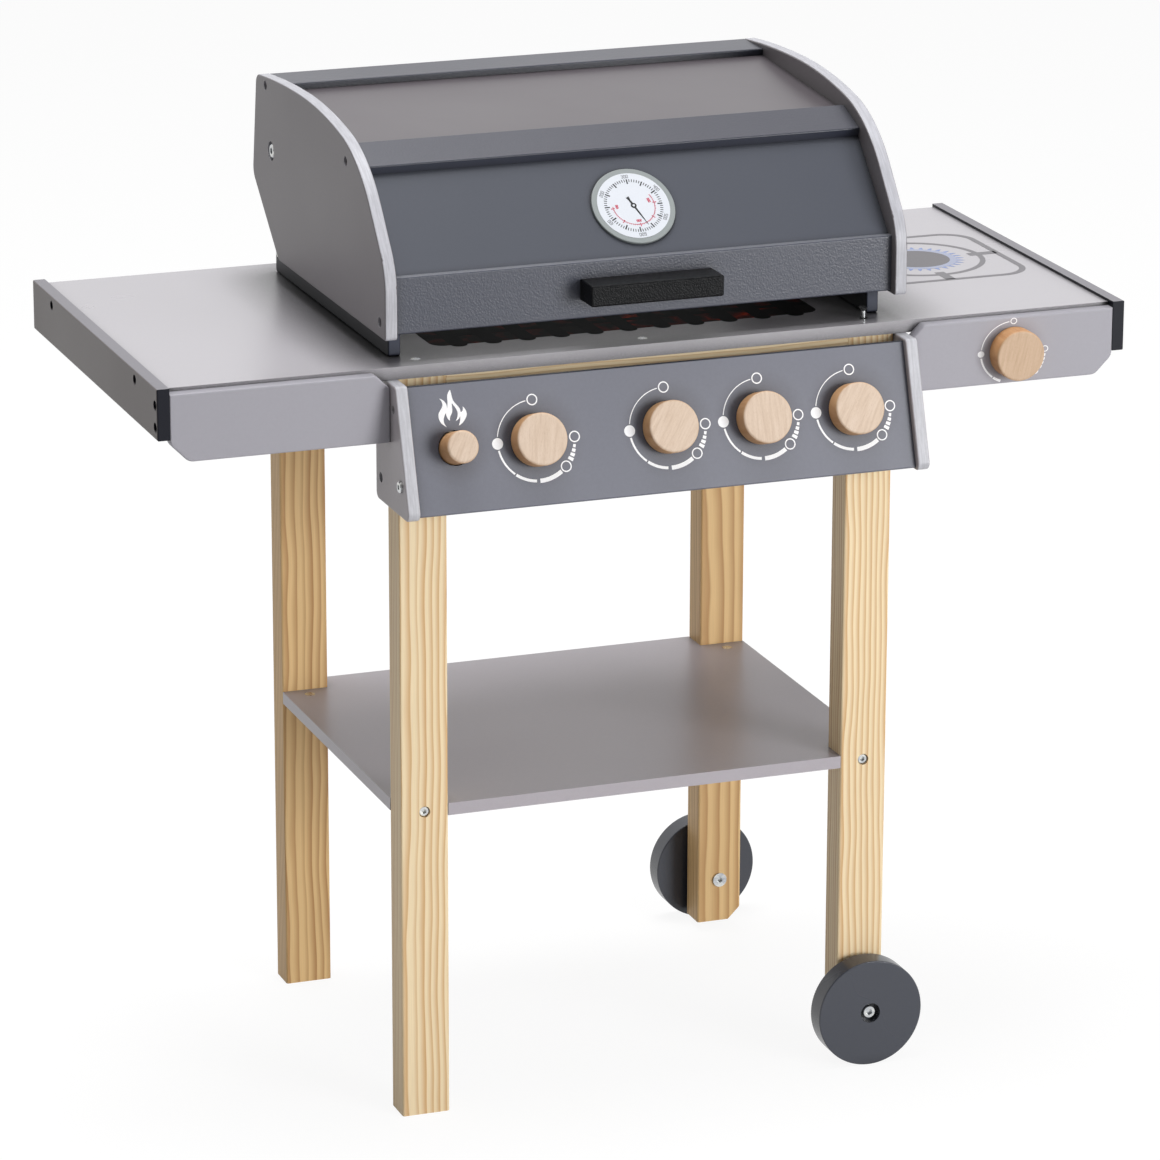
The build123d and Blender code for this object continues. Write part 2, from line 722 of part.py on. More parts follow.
# Lid: side outlines and boards are laid out in the plane of depth and height
lid_foot = top_z + lid_gap
lid_front = front_y - lid_front_over
hinge_y = middle_y + hinge_back
hinge_z = top_z + hinge_rise
hinge_at = {side: facing(side * cheek_outer, hinge_y, hinge_z, (side, 0, 0)) for side in (-1, 1)}


def in_lid(point):
    """Depth and height of a point that is placed from the legs' middle and the lid's lower edge."""
    return (middle_y + point[0], lid_foot + point[1])


def board_corners(centre, width, tilt=0.0):
    """Front and rear upper corners of a lid board, and the direction of its thickness."""
    across = Vector(width / 2, 0).rotate(Axis.Z, tilt)
    up = Vector(0, 1).rotate(Axis.Z, tilt)
    middle = Vector(*in_lid(centre)) + up * (board / 2)
    return middle - across, middle + across, -up


front_board_y = lid_front + front_board_recess
front_board_top = lid_foot + front_board_lift + front_board_height
mid_front, mid_rear, mid_down = board_corners(mid_board_at, mid_board_width, mid_board_tilt)
top_front_corner, _, top_down = board_corners(top_board_at, top_board_width)
front_skin_ends = (
    Vector(front_board_y + front_skin_inset, front_board_top),
    mid_front + mid_down * front_skin_drop,
)
top_skin_ends = (mid_rear + mid_down * top_skin_drop_front, top_front_corner + top_down * top_skin_drop_rear)


def skin_profile(ends, grow=0.0):
    """Side profile of a skin between two boards, with its outer face through both ends."""
    along = (ends[1] - ends[0]).normalized()
    inward = along.rotate(Axis.Z, -90)
    start = ends[0] - along * (groove + grow)
    finish = ends[1] + along * (groove + grow)
    with BuildSketch(Plane.YZ) as profile:
        with BuildLine():
            Polyline(
                start - inward * grow,
                finish - inward * grow,
                finish + inward * (skin + grow),
                start + inward * (skin + grow),
                close=True,
            )
        make_face()
    return profile.sketch


def cut_groove(ends):
    """Groove for a skin in the board of the current block, along the whole lid."""
    extrude(skin_profile(ends, skin_fit), amount=cheek_outer, both=True, mode=Mode.SUBTRACT)


lid_screws_at = [
    facing(side * cheek_outer, y, z, (side, 0, 0))
    for side in (-1, 1)
    for y, z in (
        in_lid(top_board_at),
        in_lid(mid_board_at),
        (front_board_y + board / 2, lid_foot + front_board_lift + board),
    )
]

for side, name in ((-1, "lid_side_left"), (1, "lid_side_right")):
    with BuildPart() as lid_side:
        with BuildSketch(Plane.YZ.offset(side * (half_span + board / 2))):
            with BuildLine():
                Polyline(
                    in_lid(lid_rear_top),
                    in_lid(lid_rear_hip),
                    in_lid((lid_rear_foot, 0)),
                    (lid_front, lid_foot),
                    (lid_front, lid_foot + lid_upright),
                    in_lid(lid_brow),
                )
                TangentArc(in_lid(lid_crown), in_lid(lid_brow), tangent=(-1, 0))
                TangentArc(in_lid(lid_crown), in_lid(lid_rear_top), tangent=(1, 0))
            make_face()
            corners = (
                ((lid_front, lid_foot), lid_foot_round),
                ((lid_front, lid_foot + lid_upright), lid_chin_round),
                (in_lid(lid_brow), lid_brow_round),
                (in_lid(lid_rear_top), lid_rear_top_round),
                (in_lid(lid_rear_hip), lid_hip_round),
                (in_lid((lid_rear_foot, 0)), lid_cut_round),
            )
            for spot, radius in corners:
                fillet(vertices().sort_by_distance((*spot, 0))[0], radius=radius)
        extrude(amount=board / 2, both=True)
        fillet(lid_side.faces().filter_by(Axis.X).edges(), radius=edge_soft)
        sink(on_side(lid_screws_at, side), board, cheek_screw_sink)
        with Locations(hinge_at[side]):
            CounterBoreHole(
                axle_diameter / 2 + running_fit,
                hinge_recess_diameter / 2,
                hinge_recess,
                depth=board,
            )
    lid_side.part.label = name
    export_step(lid_side.part, f"parts/{name}.step")

lid_screw_hole = cheek_screw_sink + board_screw_length + pilot_over - board
with BuildPart() as lid_top_board:
    with BuildSketch(Plane.YZ):
        with Locations(in_lid(top_board_at)):
            Rectangle(top_board_width, board)
    extrude(amount=half_span, both=True)
    fillet(lid_top_board.edges().filter_by(Axis.X), radius=edge_soft)
    cut_groove(top_skin_ends)
    drill(lid_screws_at, screw_shank / 2 + screw_fit, lid_screw_hole, board)
lid_top_board.part.label = "lid_top_board"
export_step(lid_top_board.part, "parts/lid_top_board.step")

with BuildPart() as lid_middle_board:
    with BuildSketch(Plane.YZ):
        with Locations(in_lid(mid_board_at)):
            Rectangle(mid_board_width, board, rotation=mid_board_tilt)
    extrude(amount=half_span, both=True)
    fillet(lid_middle_board.edges().filter_by(Axis.X), radius=edge_soft)
    cut_groove(top_skin_ends)
    cut_groove(front_skin_ends)
    drill(lid_screws_at, screw_shank / 2 + screw_fit, lid_screw_hole, board)
lid_middle_board.part.label = "lid_middle_board"
export_step(lid_middle_board.part, "parts/lid_middle_board.step")

handle_z = lid_foot + handle_lift + handle_height / 2
handle_screws_at = [
    facing(step * handle_screw_spread / 2, front_board_y + board, handle_z, (0, 1, 0)) for step in (-1, 1)
]
with BuildPart() as lid_front_board:
    with BuildSketch(Plane.YZ):
        with Locations((front_board_y + board / 2, front_board_top - front_board_height / 2)):
            Rectangle(board, front_board_height)
    extrude(amount=half_span, both=True)
    fillet(lid_front_board.edges().filter_by(Axis.X), radius=edge_soft)
    cut_groove(front_skin_ends)
    drill(lid_screws_at, screw_shank / 2 + screw_fit, lid_screw_hole, board)
    sink(handle_screws_at, board)
lid_front_board.part.label = "lid_front_board"
export_step(lid_front_board.part, "parts/lid_front_board.step")

with BuildPart() as lid_top_skin:
    extrude(skin_profile(top_skin_ends), amount=half_span, both=True)
lid_top_skin.part.label = "lid_top_skin"
export_step(lid_top_skin.part, "parts/lid_top_skin.step")

with BuildPart() as lid_front_skin:
    extrude(skin_profile(front_skin_ends), amount=half_span, both=True)
lid_front_skin.part.label = "lid_front_skin"
export_step(lid_front_skin.part, "parts/lid_front_skin.step")

with BuildPart() as lid_handle:
    with BuildSketch(Plane.XZ.offset(-front_board_y)):
        with Locations((0, handle_z)):
            Rectangle(handle_length, handle_height)
    extrude(amount=handle_depth)
    fillet(lid_handle.edges() - lid_handle.faces().sort_by(Axis.Y)[-1].edges(), radius=handle_soft)
    drill(handle_screws_at, screw_shank / 2 + screw_fit, board_screw_length + pilot_over - board, board)
lid_handle.part.label = "lid_handle"
export_step(lid_handle.part, "parts/lid_handle.step")

# Thermometer: a disc on the outer face of the lid's front skin
skin_along = (front_skin_ends[1] - front_skin_ends[0]).normalized()
dial_centre = front_skin_ends[0] + skin_along * dial_rise
dial_plane = Plane(
    origin=(dial_x, dial_centre.X, dial_centre.Y),
    x_dir=(1, 0, 0),
    z_dir=(0, -skin_along.Y, skin_along.X),
)
with BuildPart() as thermometer_dial:
    with BuildSketch(dial_plane):
        Circle(dial_diameter / 2)
    extrude(amount=dial_thickness)
    rim = Axis((0, 0, 0), dial_plane.z_dir)
    fillet(thermometer_dial.faces().sort_by(rim)[-1].edges(), radius=dial_soft)
thermometer_dial.part.label = "thermometer_dial"
export_step(thermometer_dial.part, "parts/thermometer_dial.step")

# Stand: two sides with hinge towers and a back board; the closed lid rests on its front corners
stand_front = front_y + stand_front_inset
stand_rear = rear_y - stand_rear_inset
stand_outer = half_span - hinge_side_gap
stand_top = top_z + stand_height
rest_start = front_skin_ends[0] + skin_along.rotate(Axis.Z, -90) * (skin + lid_rest_gap)
rest_slope = skin_along.Y / skin_along.X
tower_radius = stand_rear - hinge_y
tower_reach = hypot(tower_foot, hinge_z - stand_top)
tower_lean = atan((hinge_z - stand_top) / tower_foot) + acos(tower_radius / tower_reach)
tower_touch = (hinge_y - tower_radius * cos(tower_lean), hinge_z + tower_radius * sin(tower_lean))
stand_back_screws_at = [
    facing(side * stand_outer, stand_rear - board / 2, top_z + rise, (side, 0, 0))
    for side in (-1, 1)
    for rise in stand_back_screw_rises
]
for side, name in ((-1, "stand_side_left"), (1, "stand_side_right")):
    with BuildPart() as stand_side:
        with BuildSketch(Plane.YZ.offset(side * (stand_outer - board / 2))):
            with BuildLine():
                Polyline(
                    tower_touch,
                    (hinge_y - tower_foot, stand_top),
                    (rest_start.X + (stand_top - rest_start.Y) / rest_slope, stand_top),
                    (stand_front, rest_start.Y + (stand_front - rest_start.X) * rest_slope),
                    (stand_front, top_z),
                    (stand_rear, top_z),
                    (stand_rear, hinge_z),
                )
                ThreePointArc(
                    (stand_rear, hinge_z),
                    (hinge_y + tower_radius * cos(radians(45)), hinge_z + tower_radius * sin(radians(45))),
                    tower_touch,
                )
            make_face()
            fillet(vertices().group_by(Axis.Y)[0], radius=stand_soft)
        extrude(amount=board / 2, both=True)
        fillet(stand_side.faces().filter_by(Axis.X).edges(), radius=edge_soft)
        drill([hinge_at[side]], axle_diameter / 2 + screw_fit, 2 * board + hinge_side_gap)
        drill(
            on_side(stand_screws_at, side),
            screw_shank / 2 + screw_fit,
            board_screw_length + pilot_over - board,
            board,
        )
        sink(on_side(stand_back_screws_at, side), board)
    stand_side.part.label = name
    export_step(stand_side.part, f"parts/{name}.step")

with BuildPart() as stand_back:
    with BuildSketch(Plane.XZ.offset(-stand_rear)):
        with Locations((0, top_z)):
            Rectangle(
                2 * (stand_outer - board),
                stand_back_height,
                align=(Align.CENTER, Align.MIN),
            )
    extrude(amount=board)
    drill(stand_back_screws_at, screw_shank / 2 + screw_fit, board_screw_length + pilot_over - board, board)
stand_back.part.label = "stand_back"
export_step(stand_back.part, "parts/stand_back.step")

# Hinge: a bolt, three washers and a nut on each side
hinge_seat = washer_thickness - hinge_recess
hinge_length = hinge_seat + 2 * board + hinge_side_gap + washer_thickness + hinge_nut_height + pilot_over
hinge_bolt = headed_bolt(hinge_length, axle_diameter, hinge_head, hinge_head_height)
with BuildPart() as hinge_bolts:
    with Locations(*[at.offset(hinge_seat) for at in hinge_at.values()]):
        add(hinge_bolt)
hinge_bolts.part.label = "hinge_bolts"
export_step(hinge_bolts.part, "parts/hinge_bolts.step")

with BuildPart() as hinge_washers:
    for at in hinge_at.values():
        for start, thickness in (
            (-hinge_recess, washer_thickness),
            (-board - hinge_side_gap, hinge_side_gap),
            (-2 * board - hinge_side_gap - washer_thickness, washer_thickness),
        ):
            with BuildSketch(at.offset(start)):
                Circle(washer_diameter / 2)
                Circle(axle_diameter / 2 + screw_fit, mode=Mode.SUBTRACT)
            extrude(amount=thickness)
hinge_washers.part.label = "hinge_washers"
export_step(hinge_washers.part, "parts/hinge_washers.step")

with BuildPart() as hinge_nuts:
    for at in hinge_at.values():
        with BuildSketch(at.offset(-2 * board - hinge_side_gap - washer_thickness)):
            RegularPolygon(hinge_nut_across / 2, 6, major_radius=False)
            Circle(axle_diameter / 2 + screw_fit, mode=Mode.SUBTRACT)
        extrude(amount=-hinge_nut_height)
hinge_nuts.part.label = "hinge_nuts"
export_step(hinge_nuts.part, "parts/hinge_nuts.step")

# Screws, bolts and dowels, each kind on the planes that their holes share
table_screw = wood_screw(table_screw_length)
with BuildPart() as table_screws:
    loose = on_side(at_end(table_screws_at, -1), 1)[0]
    with Locations(*[at.offset(loose_screw_out) if at == loose else at for at in table_screws_at]):
        add(table_screw)
table_screws.part.label = "table_screws"
export_step(table_screws.part, "parts/table_screws.step")

board_screw = wood_screw(board_screw_length)
screw_groups = {
    "rail_screws": [at.offset(-rail_screw_sink) for at in rail_screws_into_top + rail_screws_into_aprons],
    "cheek_screws": [at.offset(-cheek_screw_sink) for at in cheek_screws_at] + apron_screws_at,
    "stand_screws": stand_screws_at + stand_back_screws_at,
    "lid_screws": [at.offset(-cheek_screw_sink) for at in lid_screws_at],
    "handle_screws": handle_screws_at,
}
for name, places in screw_groups.items():
    with BuildPart() as screws:
        with Locations(*places):
            add(board_screw)
    screws.part.label = name
    export_step(screws.part, f"parts/{name}.step")

crossbar_screw = wood_screw(crossbar_screw_length)
with BuildPart() as crossbar_screws:
    with Locations(*crossbar_screws_at):
        add(crossbar_screw)
crossbar_screws.part.label = "crossbar_screws"
export_step(crossbar_screws.part, "parts/crossbar_screws.step")

panel_screw = headed_bolt(board_screw_length, screw_shank, panel_screw_head, panel_screw_head_height)
with BuildPart() as panel_screws:
    with Locations(*panel_screws_at):
        add(panel_screw)
panel_screws.part.label = "panel_screws"
export_step(panel_screws.part, "parts/panel_screws.step")

with BuildPart() as panel_dowels:
    for at in dowels_at:
        with BuildSketch(at):
            Circle(dowel_diameter / 2)
        extrude(amount=-dowel_length)
panel_dowels.part.label = "panel_dowels"
export_step(panel_dowels.part, "parts/panel_dowels.step")

shelf_bolt = headed_bolt(shelf_bolt_length, shelf_bolt_diameter, shelf_bolt_head, shelf_bolt_head_height)
with BuildPart() as shelf_bolts:
    with Locations(*[at.offset(-shelf_bolt_sink - shelf_bolt_head_height) for at in shelf_bolts_at]):
        add(shelf_bolt)
shelf_bolts.part.label = "shelf_bolts"
export_step(shelf_bolts.part, "parts/shelf_bolts.step")

with BuildPart() as shelf_barrel_nuts:
    with Locations(*barrel_nuts_at):
        Cylinder(barrel_nut_diameter / 2, board, align=(Align.CENTER, Align.CENTER, Align.MAX))
    drill(shelf_bolts_at, shelf_bolt_diameter / 2 + screw_fit, bolt_end + pilot_over - leg_depth, leg_depth)
shelf_barrel_nuts.part.label = "shelf_barrel_nuts"
export_step(shelf_barrel_nuts.part, "parts/shelf_barrel_nuts.step")
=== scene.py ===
"""Toy barbecue grill trolley: paints, pine, beech, printed dials and marks, light and camera."""

import json
import math

import bpy
import numpy as np
from mathutils import Matrix, Vector


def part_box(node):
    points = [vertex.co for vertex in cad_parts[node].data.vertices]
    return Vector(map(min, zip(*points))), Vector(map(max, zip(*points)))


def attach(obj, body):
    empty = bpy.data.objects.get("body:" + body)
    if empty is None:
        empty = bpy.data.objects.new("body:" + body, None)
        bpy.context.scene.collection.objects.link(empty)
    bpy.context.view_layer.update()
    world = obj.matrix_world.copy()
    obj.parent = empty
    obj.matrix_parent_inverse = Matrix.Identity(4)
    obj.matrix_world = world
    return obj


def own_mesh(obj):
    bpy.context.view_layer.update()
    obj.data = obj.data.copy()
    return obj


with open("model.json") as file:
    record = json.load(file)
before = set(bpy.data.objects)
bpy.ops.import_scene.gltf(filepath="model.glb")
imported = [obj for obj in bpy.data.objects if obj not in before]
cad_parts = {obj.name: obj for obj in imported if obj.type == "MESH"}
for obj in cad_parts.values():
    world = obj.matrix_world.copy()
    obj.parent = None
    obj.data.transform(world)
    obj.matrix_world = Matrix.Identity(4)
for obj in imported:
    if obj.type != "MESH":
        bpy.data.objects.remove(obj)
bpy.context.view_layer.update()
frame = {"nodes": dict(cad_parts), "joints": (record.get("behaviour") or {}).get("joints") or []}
nodes = frame["nodes"]
joints = {joint["name"]: joint for joint in frame["joints"]}

MM = 0.001
PRINT_LIFT = 0.06 * MM  # printed marks above the paint
PRINT_THICKNESS = 0.05 * MM
WHITE = (1.0, 1.0, 1.0, 1.0)


def srgb(red, green, blue):
    """Scene-linear colour of a screen colour given in 0 to 255."""
    part = np.array([red, green, blue]) / 255.0
    linear = np.where(part <= 0.04045, part / 12.92, ((part + 0.055) / 1.055) ** 2.4)
    return (*(float(value) for value in linear), 1.0)


def dimmed(colour, share):
    """Colour times a share, opaque."""
    return (*(channel * share for channel in colour[:3]), 1.0)


def low(node):
    """Lowest corner of a node."""
    return Vector(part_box(node)[0])


def high(node):
    """Highest corner of a node."""
    return Vector(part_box(node)[1])


# Node trees


class Tree:
    """A node tree that is written as nested calls, each giving the socket that comes out."""

    def __init__(self, tree):
        self.tree = tree

    def add(self, kind, settings=None, **sockets):
        """New node; its sockets go by name, or by place as i0, i1 and so on."""
        node = self.tree.nodes.new(kind)
        for key, value in (settings or {}).items():
            setattr(node, key, value)
        for key, value in sockets.items():
            name = int(key[1:]) if key[1:].isdigit() else key.replace("_", " ")
            socket = node.inputs[name]
            if isinstance(value, bpy.types.NodeSocket):
                self.link(value, socket)
            else:
                socket.default_value = value
        return node

    def link(self, source, target):
        self.tree.links.new(source, target)

    def math(self, operation, a, b=0.0):
        return self.add("ShaderNodeMath", {"operation": operation}, i0=a, i1=b).outputs[0]

    def mix(self, factor, a, b, blend="MIX"):
        node = self.add(
            "ShaderNodeMix", {"data_type": "RGBA", "blend_type": blend}, i0=factor, i6=a, i7=b
        )
        return node.outputs[2]

    def between(self, value, start, stop, first=0.0, last=1.0):
        """value mapped from start..stop to first..last, and clamped."""
        return self.add(
            "ShaderNodeMapRange",
            Value=value,
            From_Min=start,
            From_Max=stop,
            To_Min=first,
            To_Max=last,
        ).outputs[0]

    def swing(self, value, amount):
        """(value - 0.5) times an amount, which turns noise into a shift to both sides."""
        return self.math("MULTIPLY", self.math("SUBTRACT", value, 0.5), amount)

    def toned(self, colour, strength):
        """Colour times a strength that varies over the surface."""
        grey = self.add("ShaderNodeCombineXYZ", X=strength, Y=strength, Z=strength).outputs[0]
        return self.mix(1.0, colour, grey, "MULTIPLY")

    def place(self):
        """Place on the piece, in metres of the object's frame."""
        return self.add("ShaderNodeTexCoord").outputs["Object"]

    def parts(self, vector):
        """X, Y and Z of a vector."""
        return self.add("ShaderNodeSeparateXYZ", Vector=vector).outputs

    def facing(self):
        """X, Y and Z of the direction in which the surface looks."""
        return self.parts(self.add("ShaderNodeTexCoord").outputs["Normal"])

    def relief(self, shader, height, strength, depth):
        """Height as bumps on a shader's surface, depth in millimetres."""
        bump = self.add("ShaderNodeBump", Strength=strength, Distance=depth * MM, Height=height)
        self.link(bump.outputs[0], shader.inputs["Normal"])

    def noise(self, vector, scale, detail=3.0, roughness=0.5, distortion=0.0):
        node = self.add(
            "ShaderNodeTexNoise",
            Vector=vector,
            Scale=scale,
            Detail=detail,
            Roughness=roughness,
            Distortion=distortion,
        )
        return node.outputs["Fac"]

    def stretched(self, vector, scale=(1, 1, 1), move=(0, 0, 0), turn=(0, 0, 0)):
        """Vector scaled, turned and moved."""
        return self.add(
            "ShaderNodeMapping", Vector=vector, Location=move, Rotation=turn, Scale=scale
        ).outputs[0]

    def ramp(self, value, stops):
        """Colour ramp through (place, colour) stops."""
        node = self.add("ShaderNodeValToRGB", Fac=value)
        bar = node.color_ramp.elements
        while len(bar) < len(stops):
            bar.new(0.5)
        for element, (place, colour) in zip(bar, stops):
            element.position = place
            element.color = colour
        return node.outputs[0]


def new_group(name, inputs, outputs):
    """Node group with named sockets; gives its tree, input sockets and output node."""
    tree = bpy.data.node_groups.new(name, "ShaderNodeTree")
    kinds = {
        "colour": "NodeSocketColor",
        "value": "NodeSocketFloat",
        "vector": "NodeSocketVector",
    }
    for way, sockets in (("INPUT", inputs), ("OUTPUT", outputs)):
        for label, kind in sockets.items():
            tree.interface.new_socket(label, in_out=way, socket_type=kinds[kind])
    entry = tree.nodes.new("NodeGroupInput")
    leave = tree.nodes.new("NodeGroupOutput")
    return Tree(tree), entry.outputs, leave


CREASE_SHADE = (0.40, 0.92)  # shares of open air at which the painted shade near corners is darkest, and gone
SHEEN_DRIFT = 0.16


def paint_group():
    """Paint sprayed on board: slow drift of tone, fine mottle, orange-peel height, painted shade
    near corners.

    The given colour is multiplied by 1 + drift + mottle - painted shade.
    """
    t, given, leave = new_group(
        "Sprayed paint and shade",
        {
            "Colour": "colour",
            "Drift": "value",
            "Mottle": "value",
            "Peel Scale": "value",
            "Crease": "value",
            "Reach": "value",
        },
        {"Colour": "colour", "Height": "value", "Roughness Shift": "value"},
    )
    place = t.place()
    slow = t.noise(place, 6.0, 3.0, 0.55)
    fine = t.noise(place, 420.0, 3.0, 0.65)
    shade = t.swing(slow, given["Drift"])
    speckle = t.swing(fine, given["Mottle"])
    # Ambient occlusion darkens the colour near corners, joints and overhangs: painted shade.
    occlusion = t.add("ShaderNodeAmbientOcclusion", {"samples": 4}, Distance=given["Reach"])
    closed = t.between(occlusion.outputs["AO"], *CREASE_SHADE, 1.0, 0.0)
    crease = t.math("MULTIPLY", closed, given["Crease"])
    bright = t.math("ADD", t.math("ADD", shade, speckle), 1.0)
    t.link(t.toned(given["Colour"], t.math("SUBTRACT", bright, crease)), leave.inputs["Colour"])
    t.link(t.noise(place, given["Peel Scale"], 2.0, 0.45), leave.inputs["Height"])
    t.link(t.swing(slow, SHEEN_DRIFT), leave.inputs["Roughness Shift"])
    return t.tree


PAINT_AND_SHADE = paint_group()


def new_material(name):
    """Empty material: its tree and its Principled shader."""
    material = bpy.data.materials.new(name)
    material.use_nodes = True
    shader = material.node_tree.nodes["Principled BSDF"]
    return material, Tree(material.node_tree), shader


def cut_edges(t, colour, edge):
    """Colour, with brushed stripes of another where the surface doesn't look along X."""
    brush = t.noise(t.stretched(t.place(), (900, 60, 60)), 1.0, 3.0, 0.6)
    brushed = t.mix(t.between(brush, 0.40, 0.62), dimmed(edge, 0.84), edge)
    sideways = t.math("ABSOLUTE", t.facing()[0])
    return t.mix(t.between(sideways, 0.35, 0.75), brushed, colour)


def dark_ends(t, colour, ends):
    """Colour, with another on faces that look along Y or towards the middle of the object."""
    way = t.facing()
    outward = t.math("MULTIPLY", way[0], t.parts(t.place())[0])
    inner = t.between(outward, -0.25, -0.15, 1.0, 0.0)
    along_y = t.between(t.math("ABSOLUTE", way[1]), 0.5, 0.8)
    return t.mix(t.math("MAXIMUM", along_y, inner), colour, ends)


def painted(
    name,
    colour,
    edge=None,
    ends=None,
    faces=(),
    roughness=0.45,
    drift=0.10,
    mottle=0.08,
    peel=900.0,
    bump=0.02,
    depth=0.3,
    gloss=0.5,
    crease=0.45,
    reach=9.0,
):
    """Paint on board.

    edge is the colour of cut edges, and ends that of the faces that look along Y or inwards. Each
    entry of faces is an axis, the two values of the normal along it between which a tone comes in,
    and that tone. The darkening near corners is painted shade. depth and reach are in millimetres:
    the height of the orange peel, and how far from a corner its painted shade begins.
    """
    material, t, shader = new_material(name)
    base = colour
    if edge is not None:
        base = cut_edges(t, colour, edge)
    if ends is not None:
        base = dark_ends(t, colour, ends)
    for axis, start, stop, tone in faces:
        base = t.mix(t.between(t.facing()[axis], start, stop), base, tone)
    paint = t.add(
        "ShaderNodeGroup",
        {"node_tree": PAINT_AND_SHADE},
        Colour=base,
        Drift=drift,
        Mottle=mottle,
        Peel_Scale=peel,
        Crease=crease,
        Reach=reach * MM,
    ).outputs
    t.link(paint["Colour"], shader.inputs["Base Color"])
    t.link(t.math("ADD", paint["Roughness Shift"], roughness), shader.inputs["Roughness"])
    t.relief(shader, paint["Height"], bump, depth)
    shader.inputs["Specular IOR Level"].default_value = gloss
    return material


LATE_WOOD_ENDS = 0.90  # place in a ring where its dark band breaks off
GRAIN = 0.16  # how much fibres, and slow tone, each lighten or darken the wood


def pine_group():
    """Sawn pine: growth rings about a far centre, drawn out along the grain, with fine pores.

    Ring number = distance from the tree's heart, bent by slow noise, divided by the ring width.
    Its fraction rises slowly through the pale early wood and ends in a dark late band.
    """
    t, given, leave = new_group(
        "Pine grain",
        {
            "Place": "vector",
            "Rings": "value",
            "Bend": "value",
            "Early": "colour",
            "Late": "colour",
        },
        {"Colour": "colour", "Height": "value"},
    )
    place = given["Place"]
    slow = t.noise(t.stretched(place, (9, 9, 3.2)), 1.0, 3.0, 0.6)
    flat = t.add(
        "ShaderNodeVectorMath", {"operation": "MULTIPLY"}, i0=place, i1=(1.0, 1.0, 0.0)
    ).outputs[0]
    reach = t.add("ShaderNodeVectorMath", {"operation": "LENGTH"}, i0=flat).outputs["Value"]
    bent = t.math("ADD", reach, t.swing(slow, given["Bend"]))
    ring = t.math("MULTIPLY", bent, given["Rings"])
    part = t.math("FRACT", ring)
    number = t.add("ShaderNodeCombineXYZ", X=t.math("FLOOR", ring)).outputs[0]
    width = t.noise(number, 3.7, 0.0)
    late = t.between(part, t.between(width, 0.3, 0.7, 0.10, 0.50), LATE_WOOD_ENDS)
    band = t.math("MULTIPLY", late, t.between(part, LATE_WOOD_ENDS, 1.0, 1.0, 0.0))
    fibre = t.noise(t.stretched(place, (1500, 1500, 30)), 1.0, 2.0)
    tone = t.noise(t.stretched(place, (40, 40, 3)), 1.0, 2.0)
    dark = t.math("MULTIPLY", band, t.between(width, 0.3, 0.7, 0.95, 0.55))
    mixed = t.mix(dark, given["Early"], given["Late"])
    grain = t.math("ADD", t.math("MULTIPLY", fibre, GRAIN), t.math("MULTIPLY", tone, GRAIN))
    t.link(t.toned(mixed, t.math("ADD", grain, 1 - GRAIN)), leave.inputs["Colour"])
    t.link(t.math("ADD", band, t.math("MULTIPLY", fibre, 0.5)), leave.inputs["Height"])
    return t.tree


PINE = pine_group()


def pine(
    name,
    heart,
    turn=(0.0, 0.0, 0.0),
    rings=330.0,
    bend=0.012,
    early=(244, 222, 182),
    late=(204, 154, 94),
):
    """Pine of one post, its grain along Z after the turn; heart is the middle of its rings.

    rings is their number in a metre, and bend how far in metres slow noise moves them.
    """
    material, t, shader = new_material(name)
    grain = t.add(
        "ShaderNodeGroup",
        {"node_tree": PINE},
        Place=t.stretched(t.place(), move=heart, turn=turn),
        Rings=rings,
        Bend=bend,
        Early=srgb(*early),
        Late=srgb(*late),
    ).outputs
    t.link(grain["Colour"], shader.inputs["Base Color"])
    t.relief(shader, grain["Height"], 0.12, 0.25)
    shader.inputs["Roughness"].default_value = 0.5
    return material


def beech(name, axis, seed, tint=WHITE):
    """Turned beech: rays and pores across the face, darker end grain round the side, times a tint.

    axis is the direction in which the face looks, and seed moves and turns the pattern.
    """
    material, t, shader = new_material(name)
    source = t.add("ShaderNodeTexCoord").outputs
    turn = (0, 1.25 + 0.3 * math.sin(7 * seed), 0)
    place = t.stretched(source["Object"], move=(seed, 0.3 * seed, 0), turn=turn)
    lines = t.noise(t.stretched(place, (45, 45, 520)), 1.0, 4.0, 0.55, 0.2)
    pores = t.noise(t.stretched(place, (500, 500, 2600)), 1.0, 2.0, 0.5)
    tones = ((0.25, (200, 174, 150)), (0.5, (213, 190, 168)), (0.8, (222, 201, 182)))
    face = t.ramp(lines, [(spot, srgb(*tone)) for spot, tone in tones])
    flecked = t.mix(t.between(pores, 0.52, 0.72, 0.0, 0.4), face, srgb(190, 158, 130))
    along = t.add(
        "ShaderNodeVectorMath", {"operation": "DOT_PRODUCT"}, i0=source["Normal"], i1=axis
    )
    front = t.between(along.outputs["Value"], 0.15, 0.9)
    side = t.mix(t.between(lines, 0.3, 0.7), srgb(196, 146, 100), srgb(216, 172, 126))
    stained = t.mix(1.0, t.mix(front, side, flecked), tint, "MULTIPLY")
    t.link(stained, shader.inputs["Base Color"])
    t.relief(shader, lines, 0.08, 0.2)
    shader.inputs["Roughness"].default_value = 0.5
    return material


def zinc(name):
    """Bright zinc plating with a faint yellow-blue cast and fine handling marks."""
    material, t, shader = new_material(name)
    patch = t.noise(t.place(), 160.0, 4.0, 0.6)
    colour = t.ramp(patch, [(0.35, srgb(176, 180, 186)), (0.65, srgb(222, 222, 216))])
    t.link(colour, shader.inputs["Base Color"])
    t.link(t.between(patch, 0.3, 0.7, 0.18, 0.36), shader.inputs["Roughness"])
    shader.inputs["Metallic"].default_value = 1.0
    return material


